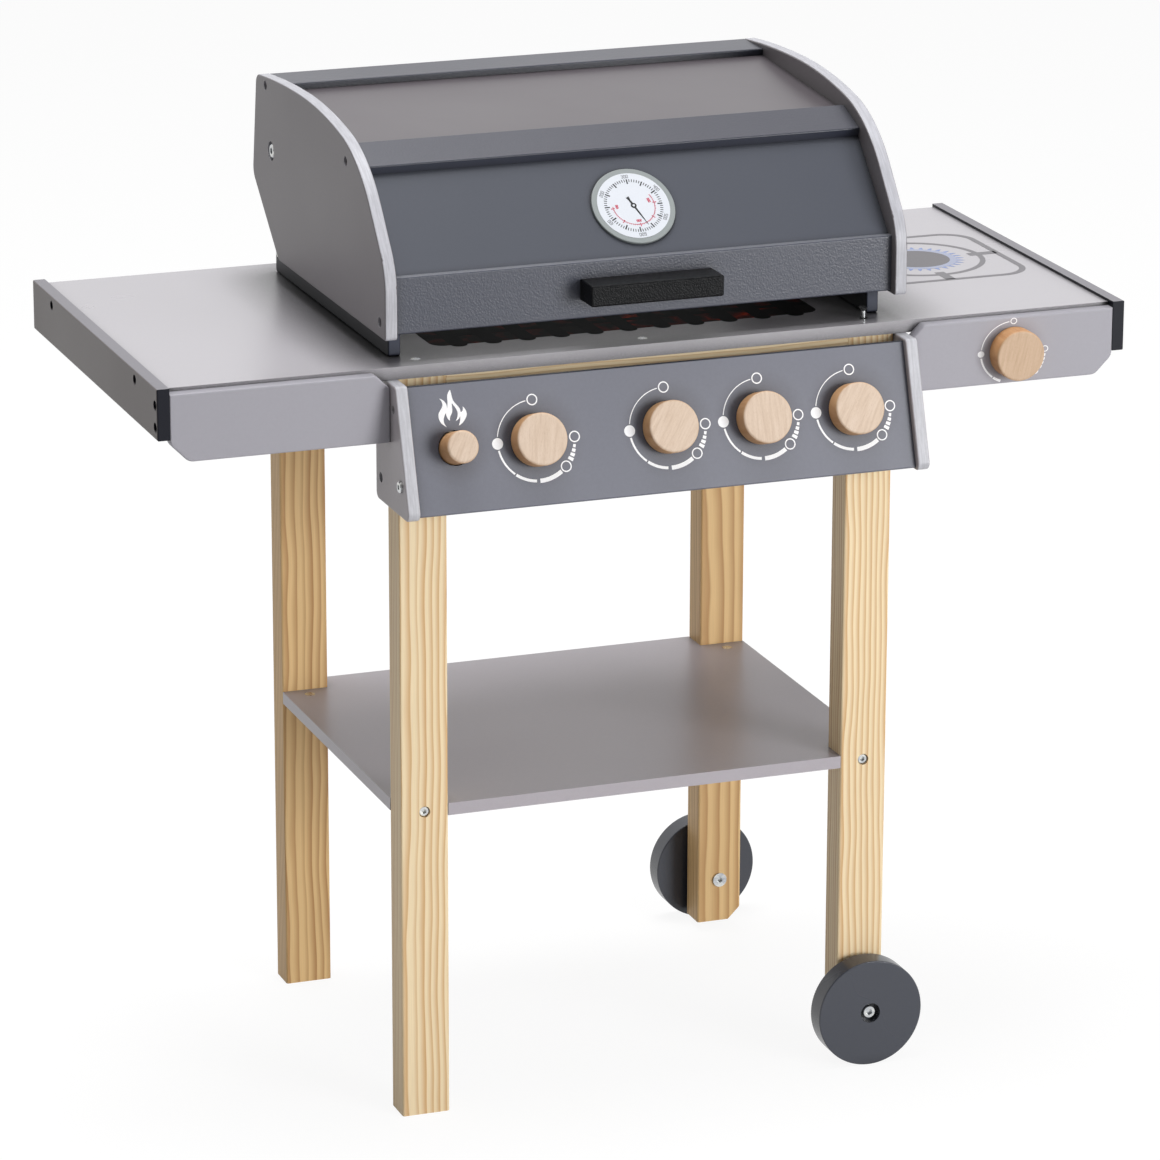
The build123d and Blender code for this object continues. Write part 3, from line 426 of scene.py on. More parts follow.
def ink(name, colour, roughness=0.5, wear=0.12, gloss=0.5):
    """Screen-printed ink, a little uneven: wear is how much darker its thin places are."""
    material, t, shader = new_material(name)
    patch = t.between(t.noise(t.place(), 900.0, 3.0, 0.6), 0.35, 0.65)
    full = srgb(*colour)
    t.link(t.mix(patch, dimmed(full, 1 - wear), full), shader.inputs["Base Color"])
    shader.inputs["Roughness"].default_value = roughness
    shader.inputs["Specular IOR Level"].default_value = gloss
    return material


def ember_ink():
    """Printed bed of coals: near-black lumps with dull red glow between them."""
    material, t, shader = new_material("Printed embers")
    place = t.place()
    cells = t.add(
        "ShaderNodeTexVoronoi", {"feature": "DISTANCE_TO_EDGE"}, Vector=place, Scale=52.0
    )
    cracks = t.between(cells.outputs["Distance"], 0.0, 0.22, 1.0, 0.0)
    patch = t.between(t.noise(place, 26.0, 4.0, 0.6), 0.42, 0.66)
    glow = t.math("MULTIPLY", cracks, patch)
    tones = ((0.0, (14, 11, 11)), (0.45, (86, 16, 10)), (1.0, (196, 58, 22)))
    colour = t.ramp(glow, [(spot, srgb(*tone)) for spot, tone in tones])
    t.link(colour, shader.inputs["Base Color"])
    shader.inputs["Roughness"].default_value = 0.6
    shader.inputs["Specular IOR Level"].default_value = 0.1
    return material


# Surfaces worked out with numpy


def put_print(name, points, faces, material, body):
    """Printed piece from an array of points and a list of faces, riding on a body."""
    mesh = bpy.data.meshes.new(name)
    corners = [tuple(point) for point in np.asarray(points, float)]
    mesh.from_pydata(corners, [], [tuple(face) for face in faces])
    mesh.validate()
    mesh.materials.append(material)
    piece = bpy.data.objects.new(name, mesh)
    bpy.context.scene.collection.objects.link(piece)
    solid = piece.modifiers.new("Thickness", "SOLIDIFY")
    solid.thickness = PRINT_THICKNESS
    solid.offset = 1.0
    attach(piece, body)
    return piece


class Sheet:
    """Plane of printed marks through an origin, in metres: u runs along X, v up the plane."""

    def __init__(self, origin, normal):
        self.origin = Vector(origin)
        self.normal = Vector(normal).normalized()
        self.across = Vector((1, 0, 0))
        self.up = self.normal.cross(self.across)

    def at(self, flat, lift=0.0):
        """Row-frame points of flat (u, v) points in millimetres."""
        flat = np.asarray(flat, float).reshape(-1, 2) * MM
        base = np.array(self.origin + self.normal * (PRINT_LIFT + lift * MM))
        return base + flat[:, :1] * np.array(self.across) + flat[:, 1:] * np.array(self.up)


def turned(angle):
    """Matrix for points @ matrix that turns rows of (u, v) anticlockwise by an angle in radians."""
    return np.array([[math.cos(angle), math.sin(angle)], [-math.sin(angle), math.cos(angle)]])


def on_circle(radius, angle):
    """Point (u, v) on a circle about zero, its angle in degrees."""
    return (radius * math.cos(math.radians(angle)), radius * math.sin(math.radians(angle)))


def arc_band(centre, inner, outer, start, stop, steps):
    """Flat ring sector as a grid: radius runs inner to outer, angle start to stop in degrees."""
    angle = np.radians(np.linspace(start, stop, steps + 1))
    radius = np.array([inner, outer])
    u = centre[0] + np.outer(radius, np.cos(angle))
    v = centre[1] + np.outer(radius, np.sin(angle))
    return np.stack([u, v], axis=-1)


def disc(radius, steps):
    """Flat disc about zero, as a ring sector whose inner radius is nothing."""
    return arc_band((0, 0), 0.0, radius, 0, 360, steps)


def stroke(start, stop, width):
    """Flat straight bar of a width, as a grid of two rows."""
    start, stop = np.array(start, float), np.array(stop, float)
    along = (stop - start) / np.linalg.norm(stop - start)
    side = np.array([-along[1], along[0]]) * width / 2
    left, right = [start - side, stop - side], [start + side, stop + side]
    return np.stack([np.stack(left), np.stack(right)])


def lay_grids(name, sheet, grids, material, body, lift=0.0):
    """One printed piece from flat grids of (u, v) points, all turned to face along the normal."""
    points, faces = [], []
    for grid in grids:
        rows, columns = grid.shape[:2]
        first = sum(len(part) for part in points)
        points.append(sheet.at(grid, lift))
        index = first + np.arange(rows * columns).reshape(rows, columns)
        corners = (index[:-1, :-1], index[:-1, 1:], index[1:, 1:], index[1:, :-1])
        quads = np.stack([c.ravel() for c in corners], axis=-1)
        a, b, c = (grid[0, 0], grid[0, 1], grid[1, 0])
        turn = (b[0] - a[0]) * (c[1] - a[1]) - (b[1] - a[1]) * (c[0] - a[0])
        faces += (quads if turn > 0 else quads[:, ::-1]).tolist()
    return put_print(name, np.concatenate(points), faces, material, body)


def lay_shape(name, sheet, outline, material, body, lift=0.0):
    """One printed piece filled inside an outline of (u, v) points, counted anticlockwise."""
    outline = np.asarray(outline, float)
    return put_print(name, sheet.at(outline, lift), [range(len(outline))], material, body)


def round_box(half_u, half_v, radius, steps=10):
    """Outline of a rectangle about zero with round corners, anticlockwise."""
    turn = np.radians(np.linspace(0, 90, steps))
    arc = np.stack([np.cos(turn), np.sin(turn)], axis=-1) * radius
    corners = []
    for quarter, (u, v) in enumerate(((1, 1), (-1, 1), (-1, -1), (1, -1))):
        middle = (u * (half_u - radius), v * (half_v - radius))
        corners.append(arc @ turned(quarter * math.pi / 2) + middle)
    return np.concatenate(corners)


def flow(points, steps):
    """Closed smooth outline through points: uniform Catmull-Rom blend of each four neighbours."""
    p = np.asarray(points, float)
    before, after, beyond = np.roll(p, 1, 0), np.roll(p, -1, 0), np.roll(p, -2, 0)
    t = np.linspace(0, 1, steps, endpoint=False)[None, :, None]
    p0, p1, p2, p3 = (q[:, None, :] for q in (before, p, after, beyond))
    square = (2 * p0 - 5 * p1 + 4 * p2 - p3) * t**2
    cube = (3 * p1 - p0 - 3 * p2 + p3) * t**3
    curve = 0.5 * (2 * p1 + (p2 - p0) * t + square + cube)
    return curve.reshape(-1, 2)


# Finishes of the imported pieces: colours and numbers that painted() explains. Each one's darkening
# near corners and overhangs is painted shade
EDGE_GREY = srgb(190, 190, 197)
NAVY = srgb(7, 10, 24)
# The tabletop's darkening near parts, reaching 50 mm, is painted shade under the lid and beside the
# rails.
TABLE_PAINT = painted(
    "Table grey",
    srgb(183, 180, 185),
    roughness=0.30,
    drift=0.06,
    mottle=0.05,
    gloss=0.6,
    crease=1.0,
    reach=50.0,
)
APRON_PAINT = painted(
    "Apron grey",
    srgb(163, 161, 169),
    roughness=0.5,
    drift=0.05,
    mottle=0.06,
    crease=0.3,
)
# The rail's grey is painted shade of the light grey paint: darker on faces that look sideways,
# lighter on the top. Its ends and inner faces are navy paint.
SHADED_RAIL_PAINT = painted(
    "Rail grey with painted shade",
    srgb(114, 108, 107),
    ends=NAVY,
    faces=[(2, 0.8, 0.95, srgb(136, 134, 140))],
    roughness=0.42,
    gloss=0.2,
    crease=0.5,
)
SHELF_PAINT = painted("Shelf grey", srgb(178, 172, 178), roughness=0.34, drift=0.06)
# The lid sides' grey is painted shade: it is far darker than the same paint on the cheeks and on
# the sides' own edges, for faces turned away from the lamps.
SHADED_SIDE_PAINT = painted(
    "Side grey with painted shade",
    srgb(110, 105, 108),
    edge=EDGE_GREY,
    roughness=0.42,
    mottle=0.14,
    reach=14.0,
)
CHEEK_PAINT = painted(
    "Cheek grey", srgb(172, 166, 169), edge=srgb(196, 196, 202), mottle=0.14
)
# The panel's darkening, reaching 18 mm, is painted shade beside the cheeks and around the knobs.
PANEL_PAINT = painted(
    "Panel slate",
    srgb(102, 104, 116),
    faces=[(2, 0.35, 0.45, srgb(34, 36, 46))],
    roughness=0.42,
    drift=0.12,
    mottle=0.16,
    crease=0.85,
    reach=18.0,
)
# The top skin's warm tint is a painted reflection of warm surroundings on the slate paint.
TOP_SKIN_PAINT = painted(
    "Top skin slate",
    srgb(86, 80, 85),
    roughness=0.32,
    drift=0.05,
    bump=0.01,
    crease=1.0,
    reach=6.0,
)
FRONT_SKIN_PAINT = painted(
    "Front skin slate",
    srgb(76, 79, 88),
    roughness=0.4,
    drift=0.05,
    bump=0.01,
    gloss=0.35,
    crease=1.0,
    reach=6.0,
)
# Its faces that look up are painted lighter: a painted highlight along the board's top edge.
FRONT_BOARD_PAINT = painted(
    "Front board slate",
    srgb(68, 71, 83),
    faces=[(2, 0.85, 0.95, srgb(112, 114, 122))],
    roughness=0.32,
    mottle=0.14,
    peel=760.0,
    bump=0.4,
    depth=0.45,
    crease=0.6,
)
BOARD_PAINT = painted(
    "Lid board slate",
    srgb(68, 69, 79),
    faces=[(1, -0.75, -0.9, srgb(44, 47, 60))],
    roughness=0.36,
    mottle=0.12,
    peel=560.0,
    bump=0.3,
    depth=0.4,
    crease=0.9,
    reach=6.0,
)
STAND_PAINT = painted(
    "Stand near-black",
    srgb(20, 22, 30),
    faces=[(1, -0.75, -0.9, srgb(66, 70, 84))],
    gloss=0.25,
    crease=0.5,
    reach=14.0,
)
WHEEL_PAINT = painted("Wheel slate", srgb(64, 67, 76), roughness=0.26, drift=0.05, bump=0.05)
HANDLE_PAINT = painted(
    "Handle black",
    srgb(6, 7, 10),
    roughness=0.34,
    mottle=0.9,
    bump=1.0,
    depth=0.5,
    gloss=0.14,
)
BROWN_STEEL = painted(
    "Brown screw",
    srgb(146, 84, 52),
    roughness=0.4,
    mottle=0.3,
    gloss=0.3,
    crease=0.1,
)
ZINC = zinc("Zinc plate")
BLACK_PLASTIC = painted("Black plastic", srgb(34, 34, 36), roughness=0.35)

FINISHES = {
    TABLE_PAINT: ["tabletop"],
    SHADED_RAIL_PAINT: ["left_end_rail", "right_end_rail"],
    APRON_PAINT: ["left_apron", "right_apron"],
    SHELF_PAINT: ["shelf"],
    CHEEK_PAINT: ["panel_cheek_left", "panel_cheek_right"],
    SHADED_SIDE_PAINT: ["lid_side_left", "lid_side_right"],
    PANEL_PAINT: ["control_panel"],
    TOP_SKIN_PAINT: ["lid_top_skin"],
    FRONT_SKIN_PAINT: ["lid_front_skin"],
    BOARD_PAINT: ["lid_top_board", "lid_middle_board"],
    FRONT_BOARD_PAINT: ["lid_front_board"],
    BROWN_STEEL: ["lid_screws"],
    STAND_PAINT: ["stand_side_left", "stand_side_right", "stand_back"],
    WHEEL_PAINT: ["wheel_front", "wheel_rear"],
    HANDLE_PAINT: ["lid_handle"],
    BLACK_PLASTIC: ["igniter_cup"],
    ZINC: [
        "igniter_spring",
        "igniter_cup_screws",
        "wheel_spacers",
        "wheel_bolts",
        "wheel_cap_nuts",
        "hinge_bolts",
        "hinge_washers",
        "hinge_nuts",
        "table_screws",
        "rail_screws",
        "cheek_screws",
        "stand_screws",
        "handle_screws",
        "crossbar_screws",
        "panel_screws",
        "shelf_bolts",
        "shelf_barrel_nuts",
    ],
}


def finish_node(name, material):
    """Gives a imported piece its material."""
    slots = nodes[name].data.materials
    slots.clear()
    slots.append(material)


for material, names in FINISHES.items():
    for name in names:
        finish_node(name, material)

# Pine posts and crossbars, each cut from another part of the tree
POSTS = {
    "leg_front_left": ((0.215, 0.060, 0.0), 0.010),
    "leg_front_right": ((-0.100, 0.062, 0.4), 0.013),
    "leg_rear_left": ((0.235, -0.250, 0.9), 0.012),
    "leg_rear_right": ((-0.130, -0.240, 1.7), 0.008),
}
# The rear posts take darker, more orange pine: painted shade, as they stand in the shade of the
# table.
SHADED_PINE = {"early": (226, 190, 134), "late": (172, 122, 68), "rings": 300.0}
for name, (heart, bend) in POSTS.items():
    shaded = SHADED_PINE if "rear" in name else {}
    finish_node(name, pine(f"Pine {name}", heart, bend=bend, **shaded))
ALONG_X = (0.0, math.pi / 2, 0.0)
BARS = {
    "front_crossbar": ((0.60, 0.15, 0.3), {"late": (196, 148, 92)}),
    "rear_crossbar": ((0.62, -0.10, 0.8), {}),
    "panel_dowels": ((0.5, 0.1, 0.2), {}),
}
for name, (heart, tones) in BARS.items():
    finish_node(name, pine(f"Pine {name}", heart, ALONG_X, **tones))

panel_axis = Vector(joints["knob_1_turn"]["axis"]).normalized()
KNOBS = ["knob_1", "knob_2", "knob_3", "knob_4", "side_knob"]
SIDE_KNOB_TINT = (0.88, 0.79, 0.68, 1.0)
for seed, knob in enumerate(KNOBS, start=1):
    axis = tuple(joints[f"{knob}_turn"]["axis"])
    tint = SIDE_KNOB_TINT if knob == "side_knob" else WHITE
    for name in (knob, f"{knob}_peg"):
        finish_node(name, beech(f"Beech {name}", axis, 0.37 * seed, tint))
finish_node("igniter_button", beech("Beech button", tuple(panel_axis), 2.6))

# The igniter's spring, which shortens by the button's travel towards its seat in the cup, gets a
# mesh of its own
spring = nodes["igniter_spring"]
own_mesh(spring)

# Printed marks
WHITE_INK = ink("White ink", (250, 250, 252), wear=0.05)
RING_STEPS = 28
MARK_ROOM = 0.8  # bare millimetres between a ring or dot and the arc
DASHES = 4


def knob_sheet(knob):
    """Plane of the face that a knob turns on, with the knob's centre as its origin."""
    joint = joints[f"{knob}_turn"]
    return Sheet(joint["pos_m"], joint["axis"])


def ring(centre, radius, line):
    """Small printed circle, its line inside the radius."""
    return arc_band(centre, radius - line, radius, 0, 360, RING_STEPS)


def print_scale(knob, reach, mark, line, bare=(270, 270), height=1.0):
    """Heat scale of a knob: off ring on top, dot at the left, an arc that grows thicker, dashes.

    reach is the radius of the scale, mark that of its rings and dot, and line the rings' width.
    bare is the stretch at the foot without an arc, and height is the scale's height over its
    width.
    """
    gap = math.degrees((mark + MARK_ROOM) / reach)
    grids = [ring(on_circle(reach, turn), mark, line) for turn in (90, 0, -45)]
    grids.append(arc_band(on_circle(reach, 180), 0.05, mark, 0, 360, RING_STEPS))
    arcs = (
        (0.35, 90 + gap, 180 - gap, 24),
        (0.7, 180 + gap, 231, 16),
        (1.0, 233, min(265, bare[0]), 12),
        (1.5, max(267, bare[1]), 315 - gap, 12),
    )
    for half, start, stop, steps in arcs:
        grids.append(arc_band((0, 0), reach - half, reach + half, start, stop, steps))
    span = (45 - 2 * gap) / DASHES
    for step in range(DASHES):
        begin = -45 + gap + step * span
        half = 2.0 - 0.35 * step
        start, stop = begin + 0.14 * span, begin + 0.86 * span
        grids.append(arc_band((0, 0), reach - half, reach + half, start, stop, 4))
    flat = [grid * (1.0, height) for grid in grids]
    lay_grids(f"{knob}_scale", knob_sheet(knob), flat, WHITE_INK, "trolley")


for knob in KNOBS[:-1]:
    print_scale(knob, 28.0, 4.0, 0.9)
print_scale("side_knob", 24.8, 2.6, 0.7, bare=(248, 294), height=0.9)

# Flame mark over the button: three tongues with a bare middle, through points at their tips
# and hollows
button_centre = low("igniter_button").lerp(high("igniter_button"), 0.5)
knob_origin = Vector(joints["knob_1_turn"]["pos_m"])
button_u = (button_centre.x - knob_origin.x) / MM
FLAME_RISE = 25.0
FLAME = [
    (-7.8, 9.5), (-6.4, 7.4), (-6.0, 5.1), (-6.8, 3.2), (-8.2, 1.3), (-9.4, -0.6), (-9.7, -2.5),
    (-9.5, -4.5), (-8.7, -6.6), (-7.3, -8.3), (-4.7, -10.2), (-5.7, -8.5), (-6.2, -6.8),
    (-6.2, -4.8), (-5.5, -2.9), (-4.3, -0.8), (-4.0, -2.6), (-3.2, -4.7), (-1.9, -6.0),
    (-1.7, -4.5), (-1.0, -2.9), (0.1, -1.0), (0.6, 0.9), (0.7, 3.2), (0.8, 5.5), (1.8, 4.1),
    (3.2, 2.0), (4.1, -0.3), (4.1, -2.3), (3.6, -4.3), (2.5, -6.5), (3.9, -5.9), (5.0, -5.0),
    (5.8, -3.8), (5.5, -6.1), (5.0, -8.0), (4.3, -9.9), (6.4, -8.8), (8.1, -7.3), (9.7, -5.1),
    (10.6, -3.2), (10.6, -1.2), (9.9, 0.8), (8.3, 2.8), (8.3, 1.6), (8.0, 0.3), (7.4, -0.5),
    (6.5, -0.9), (6.2, 1.1), (5.3, 2.9), (3.6, 5.0), (2.0, 7.4), (1.3, 10.1), (1.0, 12.5),
    (0.4, 14.8), (-1.0, 13.3), (-1.9, 11.4), (-2.2, 9.1), (-2.2, 6.8), (-2.6, 4.2), (-2.9, 2.5),
    (-3.1, 4.9), (-4.1, 6.9), (-5.5, 8.4),
]
FLAME_STEPS = 4
flame = flow(FLAME, FLAME_STEPS) + (button_u, FLAME_RISE)
lay_shape("flame_mark", knob_sheet("knob_1"), flame, WHITE_INK, "trolley")

# Grate and embers printed on the tabletop under the lid
table_top = high("tabletop").z
legs_middle = (low("leg_front_left").y + high("leg_rear_left").y) / 2
grate_sheet = Sheet((0, legs_middle, table_top), (0, 0, 1))
BLACK_INK = ink("Black ink", (12, 11, 12), roughness=0.6, wear=0.3, gloss=0.08)
EMBER_HALF_WIDTH, EMBER_HALF_DEPTH = 144.5, 109.5
BAR_COUNT, BAR_PITCH = 11, 25.15
BAR_HALF_WIDTH, BAR_HALF_LENGTH = 6.0, 115.0
CROSS_BAR_WIDTH, CROSS_BAR_PLACES = 7.0, (-84.0, 0.0, 84.0)
embers = round_box(EMBER_HALF_WIDTH, EMBER_HALF_DEPTH, 10.0)
lay_shape("ember_print", grate_sheet, embers, ember_ink(), "trolley")
bar = round_box(BAR_HALF_WIDTH, BAR_HALF_LENGTH, BAR_HALF_WIDTH)
for number in range(1, BAR_COUNT + 1):
    shift = (BAR_PITCH * (number - (BAR_COUNT + 1) / 2), 0.0)
    lay_shape(f"grate_bar_{number}", grate_sheet, bar + shift, BLACK_INK, "trolley", lift=0.08)
cross_bars = [
    stroke((-EMBER_HALF_WIDTH, v), (EMBER_HALF_WIDTH, v), CROSS_BAR_WIDTH)
    for v in CROSS_BAR_PLACES
]
lay_grids("grate_cross_bars", grate_sheet, cross_bars, BLACK_INK, "trolley", lift=0.07)

# Gas ring printed on the right wing: disc in a pale glow, a wreath of flames, ring and trivet
GREY_INK = ink("Grey ink", (112, 110, 114))
RING_INK = ink("Ring ink", (126, 124, 128))
BLUE_INK = ink("Blue flame ink", (132, 150, 198))
PALE_BLUE_INK = ink("Pale blue ink", (168, 174, 196))
BURNER_X, BURNER_BACK = 0.270, 0.009  # metres from the middle, and behind the legs' middle
DISC_RADIUS, GLOW_RADIUS = 25.0, 30.0
PETALS = 30
PETAL = np.stack([[26.5, 30.0, 33.5, 36.0], [0.0, 1.7, 1.1, 0.0]], axis=-1)  # one flame's side
RING_INNER, RING_OUTER = 47.0, 51.0
TRIVET_INNER, TRIVET_OUTER = (62.0, 20.0), (66.5, 24.0)  # half side and corner radius
SUPPORT_START, SUPPORT_STOP, SUPPORT_WIDTH = 42.0, 64.0, 7.5
burner_sheet = Sheet((BURNER_X, legs_middle + BURNER_BACK, table_top), (0, 0, 1))
lay_grids("burner_disc", burner_sheet, [disc(DISC_RADIUS, 60)], GREY_INK, "trolley", lift=0.02)
lay_grids("burner_glow", burner_sheet, [disc(GLOW_RADIUS, 60)], PALE_BLUE_INK, "trolley")
flames = []
for turn in np.radians(np.arange(PETALS) * 360 / PETALS):
    flames.append(np.stack([(PETAL * (1, -1)) @ turned(turn), PETAL @ turned(turn)]))
lay_grids("burner_flames", burner_sheet, flames, BLUE_INK, "trolley", lift=0.01)
burner_ring = arc_band((0, 0), RING_INNER, RING_OUTER, 0, 360, 90)
lay_grids("burner_ring", burner_sheet, [burner_ring], RING_INK, "trolley")
sides = [round_box(half, half, corner, 14) for half, corner in (TRIVET_INNER, TRIVET_OUTER)]
trivet = [np.stack([np.vstack([side, side[:1]]) for side in sides])]
for angle in (0, 90, 180, 270):
    start, stop = on_circle(SUPPORT_START, angle), on_circle(SUPPORT_STOP, angle)
    trivet.append(stroke(start, stop, SUPPORT_WIDTH))
lay_grids("burner_trivet", burner_sheet, trivet, RING_INK, "trolley", lift=0.01)

# Thermometer, square to the slope of the lid's front skin
dial_low, dial_high = low("thermometer_dial"), high("thermometer_dial")
skin_low, skin_high = low("lid_front_skin"), high("lid_front_skin")
dial_radius = (dial_high.x - dial_low.x) / 2 / MM
slope = math.atan2(skin_high.z - skin_low.z, skin_high.y - skin_low.y)
dial_normal = Vector((0, -math.sin(slope), math.cos(slope)))
dial_middle = (dial_low + dial_high) / 2
dial_points = [vertex.co for vertex in nodes["thermometer_dial"].data.vertices]
dial_front = max(dial_normal.dot(point) for point in dial_points)
dial_origin = dial_middle + dial_normal * (dial_front - dial_normal.dot(dial_middle))
dial_sheet = Sheet(dial_origin, dial_normal)
BEZEL_WIDTH = 3.9
BEZEL = painted("Dial bezel grey", srgb(142, 148, 148), roughness=0.4, mottle=0.05)
FACE_INK = ink("Dial white", (212, 216, 223), wear=0.03)
DARK_INK = ink("Dial black", (20, 22, 28), wear=0.1)
SOFT_INK = ink("Dial grey", (112, 114, 120), wear=0.1)
RED_INK = ink("Dial red", (196, 60, 88), wear=0.1)
finish_node("thermometer_dial", BEZEL)
lay_grids("dial_face", dial_sheet, [disc(dial_radius - BEZEL_WIDTH, 72)], FACE_INK, "lid")
TICKS, LONG_EVERY, TICK_RIM = 72, 6, 21.4
LONG_TICK, SHORT_TICK = (17.6, 0.95), (19.2, 0.55)  # inner radius and width
ticks = []
for step in range(TICKS):
    turn = step * 360 / TICKS
    inner, width = LONG_TICK if step % LONG_EVERY == 0 else SHORT_TICK
    ticks.append(stroke(on_circle(inner, turn), on_circle(TICK_RIM, turn), width))
lay_grids("dial_ticks", dial_sheet, ticks, DARK_INK, "lid", lift=0.06)

# Digits from straight strokes between the points of a grid of 1 by 2
SEGMENTS = {
    "top": ((0, 2), (1, 2)),
    "middle": ((0, 1), (1, 1)),
    "foot": ((0, 0), (1, 0)),
    "upper_left": ((0, 1), (0, 2)),
    "upper_right": ((1, 1), (1, 2)),
    "lower_left": ((0, 0), (0, 1)),
    "lower_right": ((1, 0), (1, 1)),
}
DIGITS = {
    "0": ("top", "foot", "upper_left", "upper_right", "lower_left", "lower_right"),
    "1": ("upper_right", "lower_right"),
    "2": ("top", "middle", "foot", "upper_right", "lower_left"),
    "3": ("top", "middle", "foot", "upper_right", "lower_right"),
    "4": ("middle", "upper_left", "upper_right", "lower_right"),
    "5": ("top", "middle", "foot", "upper_left", "lower_right"),
    "6": ("top", "middle", "foot", "upper_left", "lower_left", "lower_right"),
}
DIGIT_PITCH = 1.6


def numeral(text, radius, angle, size, width):
    """Number at a place of the dial, its foot towards the middle: size is a stroke's length."""
    spin = turned(math.radians(angle - 90))
    middle = np.array(on_circle(radius, angle))
    strokes = []
    for place, digit in enumerate(text):
        shift = (place - (len(text) - 1) / 2) * DIGIT_PITCH - 0.5
        for segment in DIGITS[digit]:
            ends = [((x + shift) * size, (y - 1) * size) for x, y in SEGMENTS[segment]]
            start, stop = (np.array(end) @ spin + middle for end in ends)
            strokes.append(stroke(start, stop, width))
    return strokes


NUMBER_RADIUS, FIRST_ANGLE, ANGLE_STEP = 23.6, 212, -60
numbers = []
for step in range(6):
    angle = FIRST_ANGLE + ANGLE_STEP * step
    numbers += numeral(f"{step + 1}00", NUMBER_RADIUS, angle, 1.15, 0.36)
lay_grids("dial_numbers", dial_sheet, numbers, SOFT_INK, "lid", lift=0.07)
RED_START, RED_STOP = 180, 390
red = [arc_band((0, 0), 15.2, 15.6, RED_START, RED_STOP, 60)]
for inner, outer, width, angles in (
    (15.0, 16.2, 0.25, range(RED_START, RED_STOP + 1, 5)),
    (14.4, 17.2, 0.7, range(RED_START + 5, RED_STOP, 45)),
):
    red += [stroke(on_circle(inner, a), on_circle(outer, a), width) for a in angles]
for text, turn in (("100", 182), ("200", 274), ("300", 376)):
    red += numeral(text, 12.4, turn, 0.8, 0.5)
lay_grids("dial_red_scale", dial_sheet, red, RED_INK, "lid", lift=0.06)
NEEDLE_TURN = -156.7
NEEDLE_SIDE = [(-0.8, 0.0), (-0.7, -5.0), (-1.3, -7.6)]
NEEDLE_TIP = [(0.15, 17.6), (-0.15, 17.6)]
needle = NEEDLE_SIDE + [(-u, v) for u, v in reversed(NEEDLE_SIDE)] + NEEDLE_TIP
needle = np.array(needle) @ turned(math.radians(NEEDLE_TURN))
lay_shape("dial_needle", dial_sheet, needle, DARK_INK, "lid", lift=0.14)
lay_grids("dial_hub", dial_sheet, [disc(2.1, 24)], DARK_INK, "lid", lift=0.15)
lay_grids("dial_hub_pin", dial_sheet, [disc(0.9, 18)], FACE_INK, "lid", lift=0.21)

# Floor, light and camera
FLOOR_REACH = 12.0
FLOOR_GLOW = 0.9
AMBIENT = 0.30  # light from all round
FRONT_BACKDROP = 0.30  # how bright gloss sees the side that the camera looks from


def build_floor():
    """Pale floor: nearly white to the camera, with the shadow of the legs kept."""
    mesh = bpy.data.meshes.new("floor")
    quarters = ((-1, -1), (1, -1), (1, 1), (-1, 1))
    corners = [(u * FLOOR_REACH, v * FLOOR_REACH, 0) for u, v in quarters]
    mesh.from_pydata(corners, [], [(0, 1, 2, 3)])
    floor = bpy.data.objects.new("floor", mesh)
    bpy.context.scene.collection.objects.link(floor)
    material = bpy.data.materials.new("Pale floor")
    material.use_nodes = True
    t = Tree(material.node_tree)
    t.tree.nodes.remove(t.tree.nodes["Principled BSDF"])
    path = t.add("ShaderNodeLightPath").outputs
    seen = t.math("MAXIMUM", path["Is Camera Ray"], path["Is Glossy Ray"])
    plain = t.add("ShaderNodeBsdfDiffuse", Color=dimmed(WHITE, 0.50)).outputs[0]
    shade = t.add("ShaderNodeBsdfDiffuse", Color=dimmed(WHITE, 0.14)).outputs[0]
    glow = t.add("ShaderNodeEmission", Color=WHITE, Strength=FLOOR_GLOW).outputs[0]
    both = t.add("ShaderNodeAddShader", i0=shade, i1=glow).outputs[0]
    mixed = t.add("ShaderNodeMixShader", i0=seen, i1=plain, i2=both).outputs[0]
    t.link(mixed, t.tree.nodes["Material Output"].inputs["Surface"])
    mesh.materials.append(material)


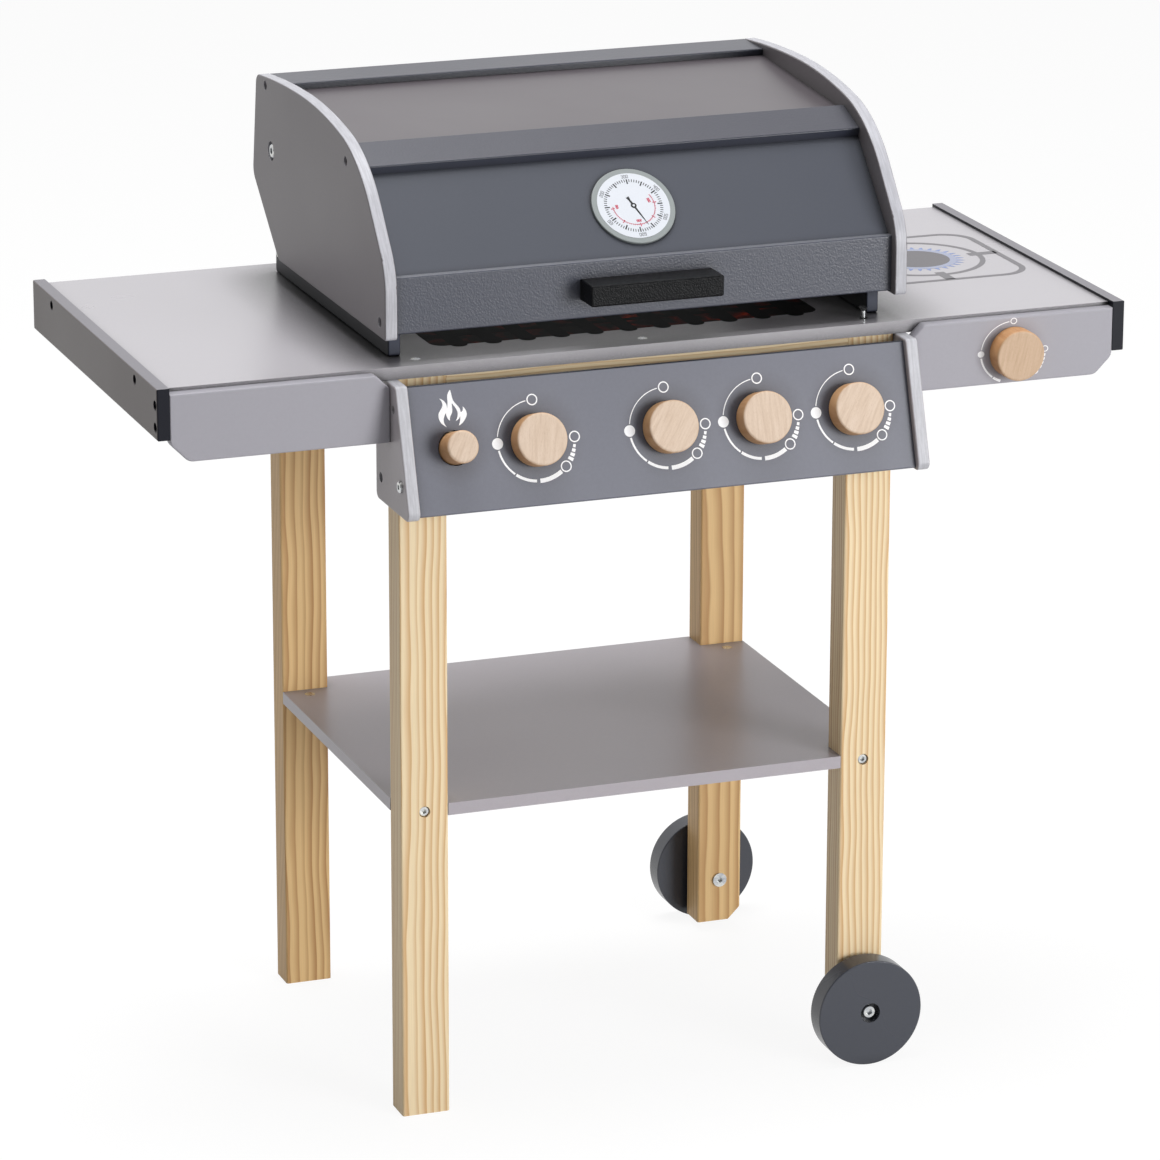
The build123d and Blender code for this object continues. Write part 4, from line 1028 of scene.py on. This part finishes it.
def build_world():
    """Even studio light: plain white to the camera; gloss sees white behind and grey in front."""
    world = bpy.data.worlds.new("Studio")
    bpy.context.scene.world = world
    world.use_nodes = True
    t = Tree(world.node_tree)
    path = t.add("ShaderNodeLightPath").outputs
    seen = t.math("MAXIMUM", path["Is Camera Ray"], path["Is Transmission Ray"])
    way = t.parts(t.add("ShaderNodeNewGeometry").outputs["Position"])
    backdrop = t.between(way[1], -0.3, 0.6, FRONT_BACKDROP, 1.0)
    soft = t.math("MULTIPLY", path["Is Glossy Ray"], backdrop)
    strength = t.math("MAXIMUM", seen, t.math("MAXIMUM", soft, AMBIENT))
    background = t.tree.nodes["Background"]
    background.inputs["Color"].default_value = WHITE
    t.link(strength, background.inputs["Strength"])


def area_light(name, place, target, size, power):
    """Soft square lamp at a place, aimed at a target; size in metres, power in watts."""
    lamp = bpy.data.lights.new(name, "AREA")
    lamp.size = size
    lamp.energy = power
    holder = bpy.data.objects.new(name, lamp)
    holder.location = place
    aim = Vector(target) - Vector(place)
    holder.rotation_euler = aim.to_track_quat("-Z", "Y").to_euler()
    bpy.context.scene.collection.objects.link(holder)


CAMERA_PLACE = (-1.35165, -3.65085, 1.54420)
CAMERA_ANGLES = (-20.3055, 17.1806, 0.1442)  # azimuth, elevation and roll in degrees
FOCAL_PIXELS, PICTURE_PIXELS = 5616.6, 1160
FILM_WIDTH = 36.0


def build_camera():
    """Camera of the photograph, given by its place, azimuth, elevation, roll and focal length."""
    azimuth, elevation, roll = (math.radians(angle) for angle in CAMERA_ANGLES)
    level = math.cos(elevation)
    back = Vector((math.sin(azimuth) * level, -math.cos(azimuth) * level, math.sin(elevation)))
    right = Vector((math.cos(azimuth), math.sin(azimuth), 0.0))
    up = back.cross(right)
    rolled_right = right * math.cos(roll) + up * math.sin(roll)
    rolled_up = up * math.cos(roll) - right * math.sin(roll)
    camera = bpy.data.cameras.new("Camera")
    camera.sensor_fit = "HORIZONTAL"
    camera.sensor_width = FILM_WIDTH
    camera.lens = FILM_WIDTH * FOCAL_PIXELS / PICTURE_PIXELS
    camera.clip_end = 60.0
    holder = bpy.data.objects.new("Camera", camera)
    turn = Matrix((rolled_right, rolled_up, back)).transposed().to_4x4()
    holder.matrix_world = Matrix.Translation(CAMERA_PLACE) @ turn
    bpy.context.scene.collection.objects.link(holder)
    bpy.context.scene.camera = holder


build_floor()
build_world()
area_light("Key", (2.3, -3.9, 0.95), (0, 0, 0.45), 2.0, 142.0)
area_light("Top", (-0.1, 0.3, 3.3), (0, 0, 0.55), 1.8, 74.0)
build_camera()
bpy.context.scene.view_settings.view_transform = "Standard"
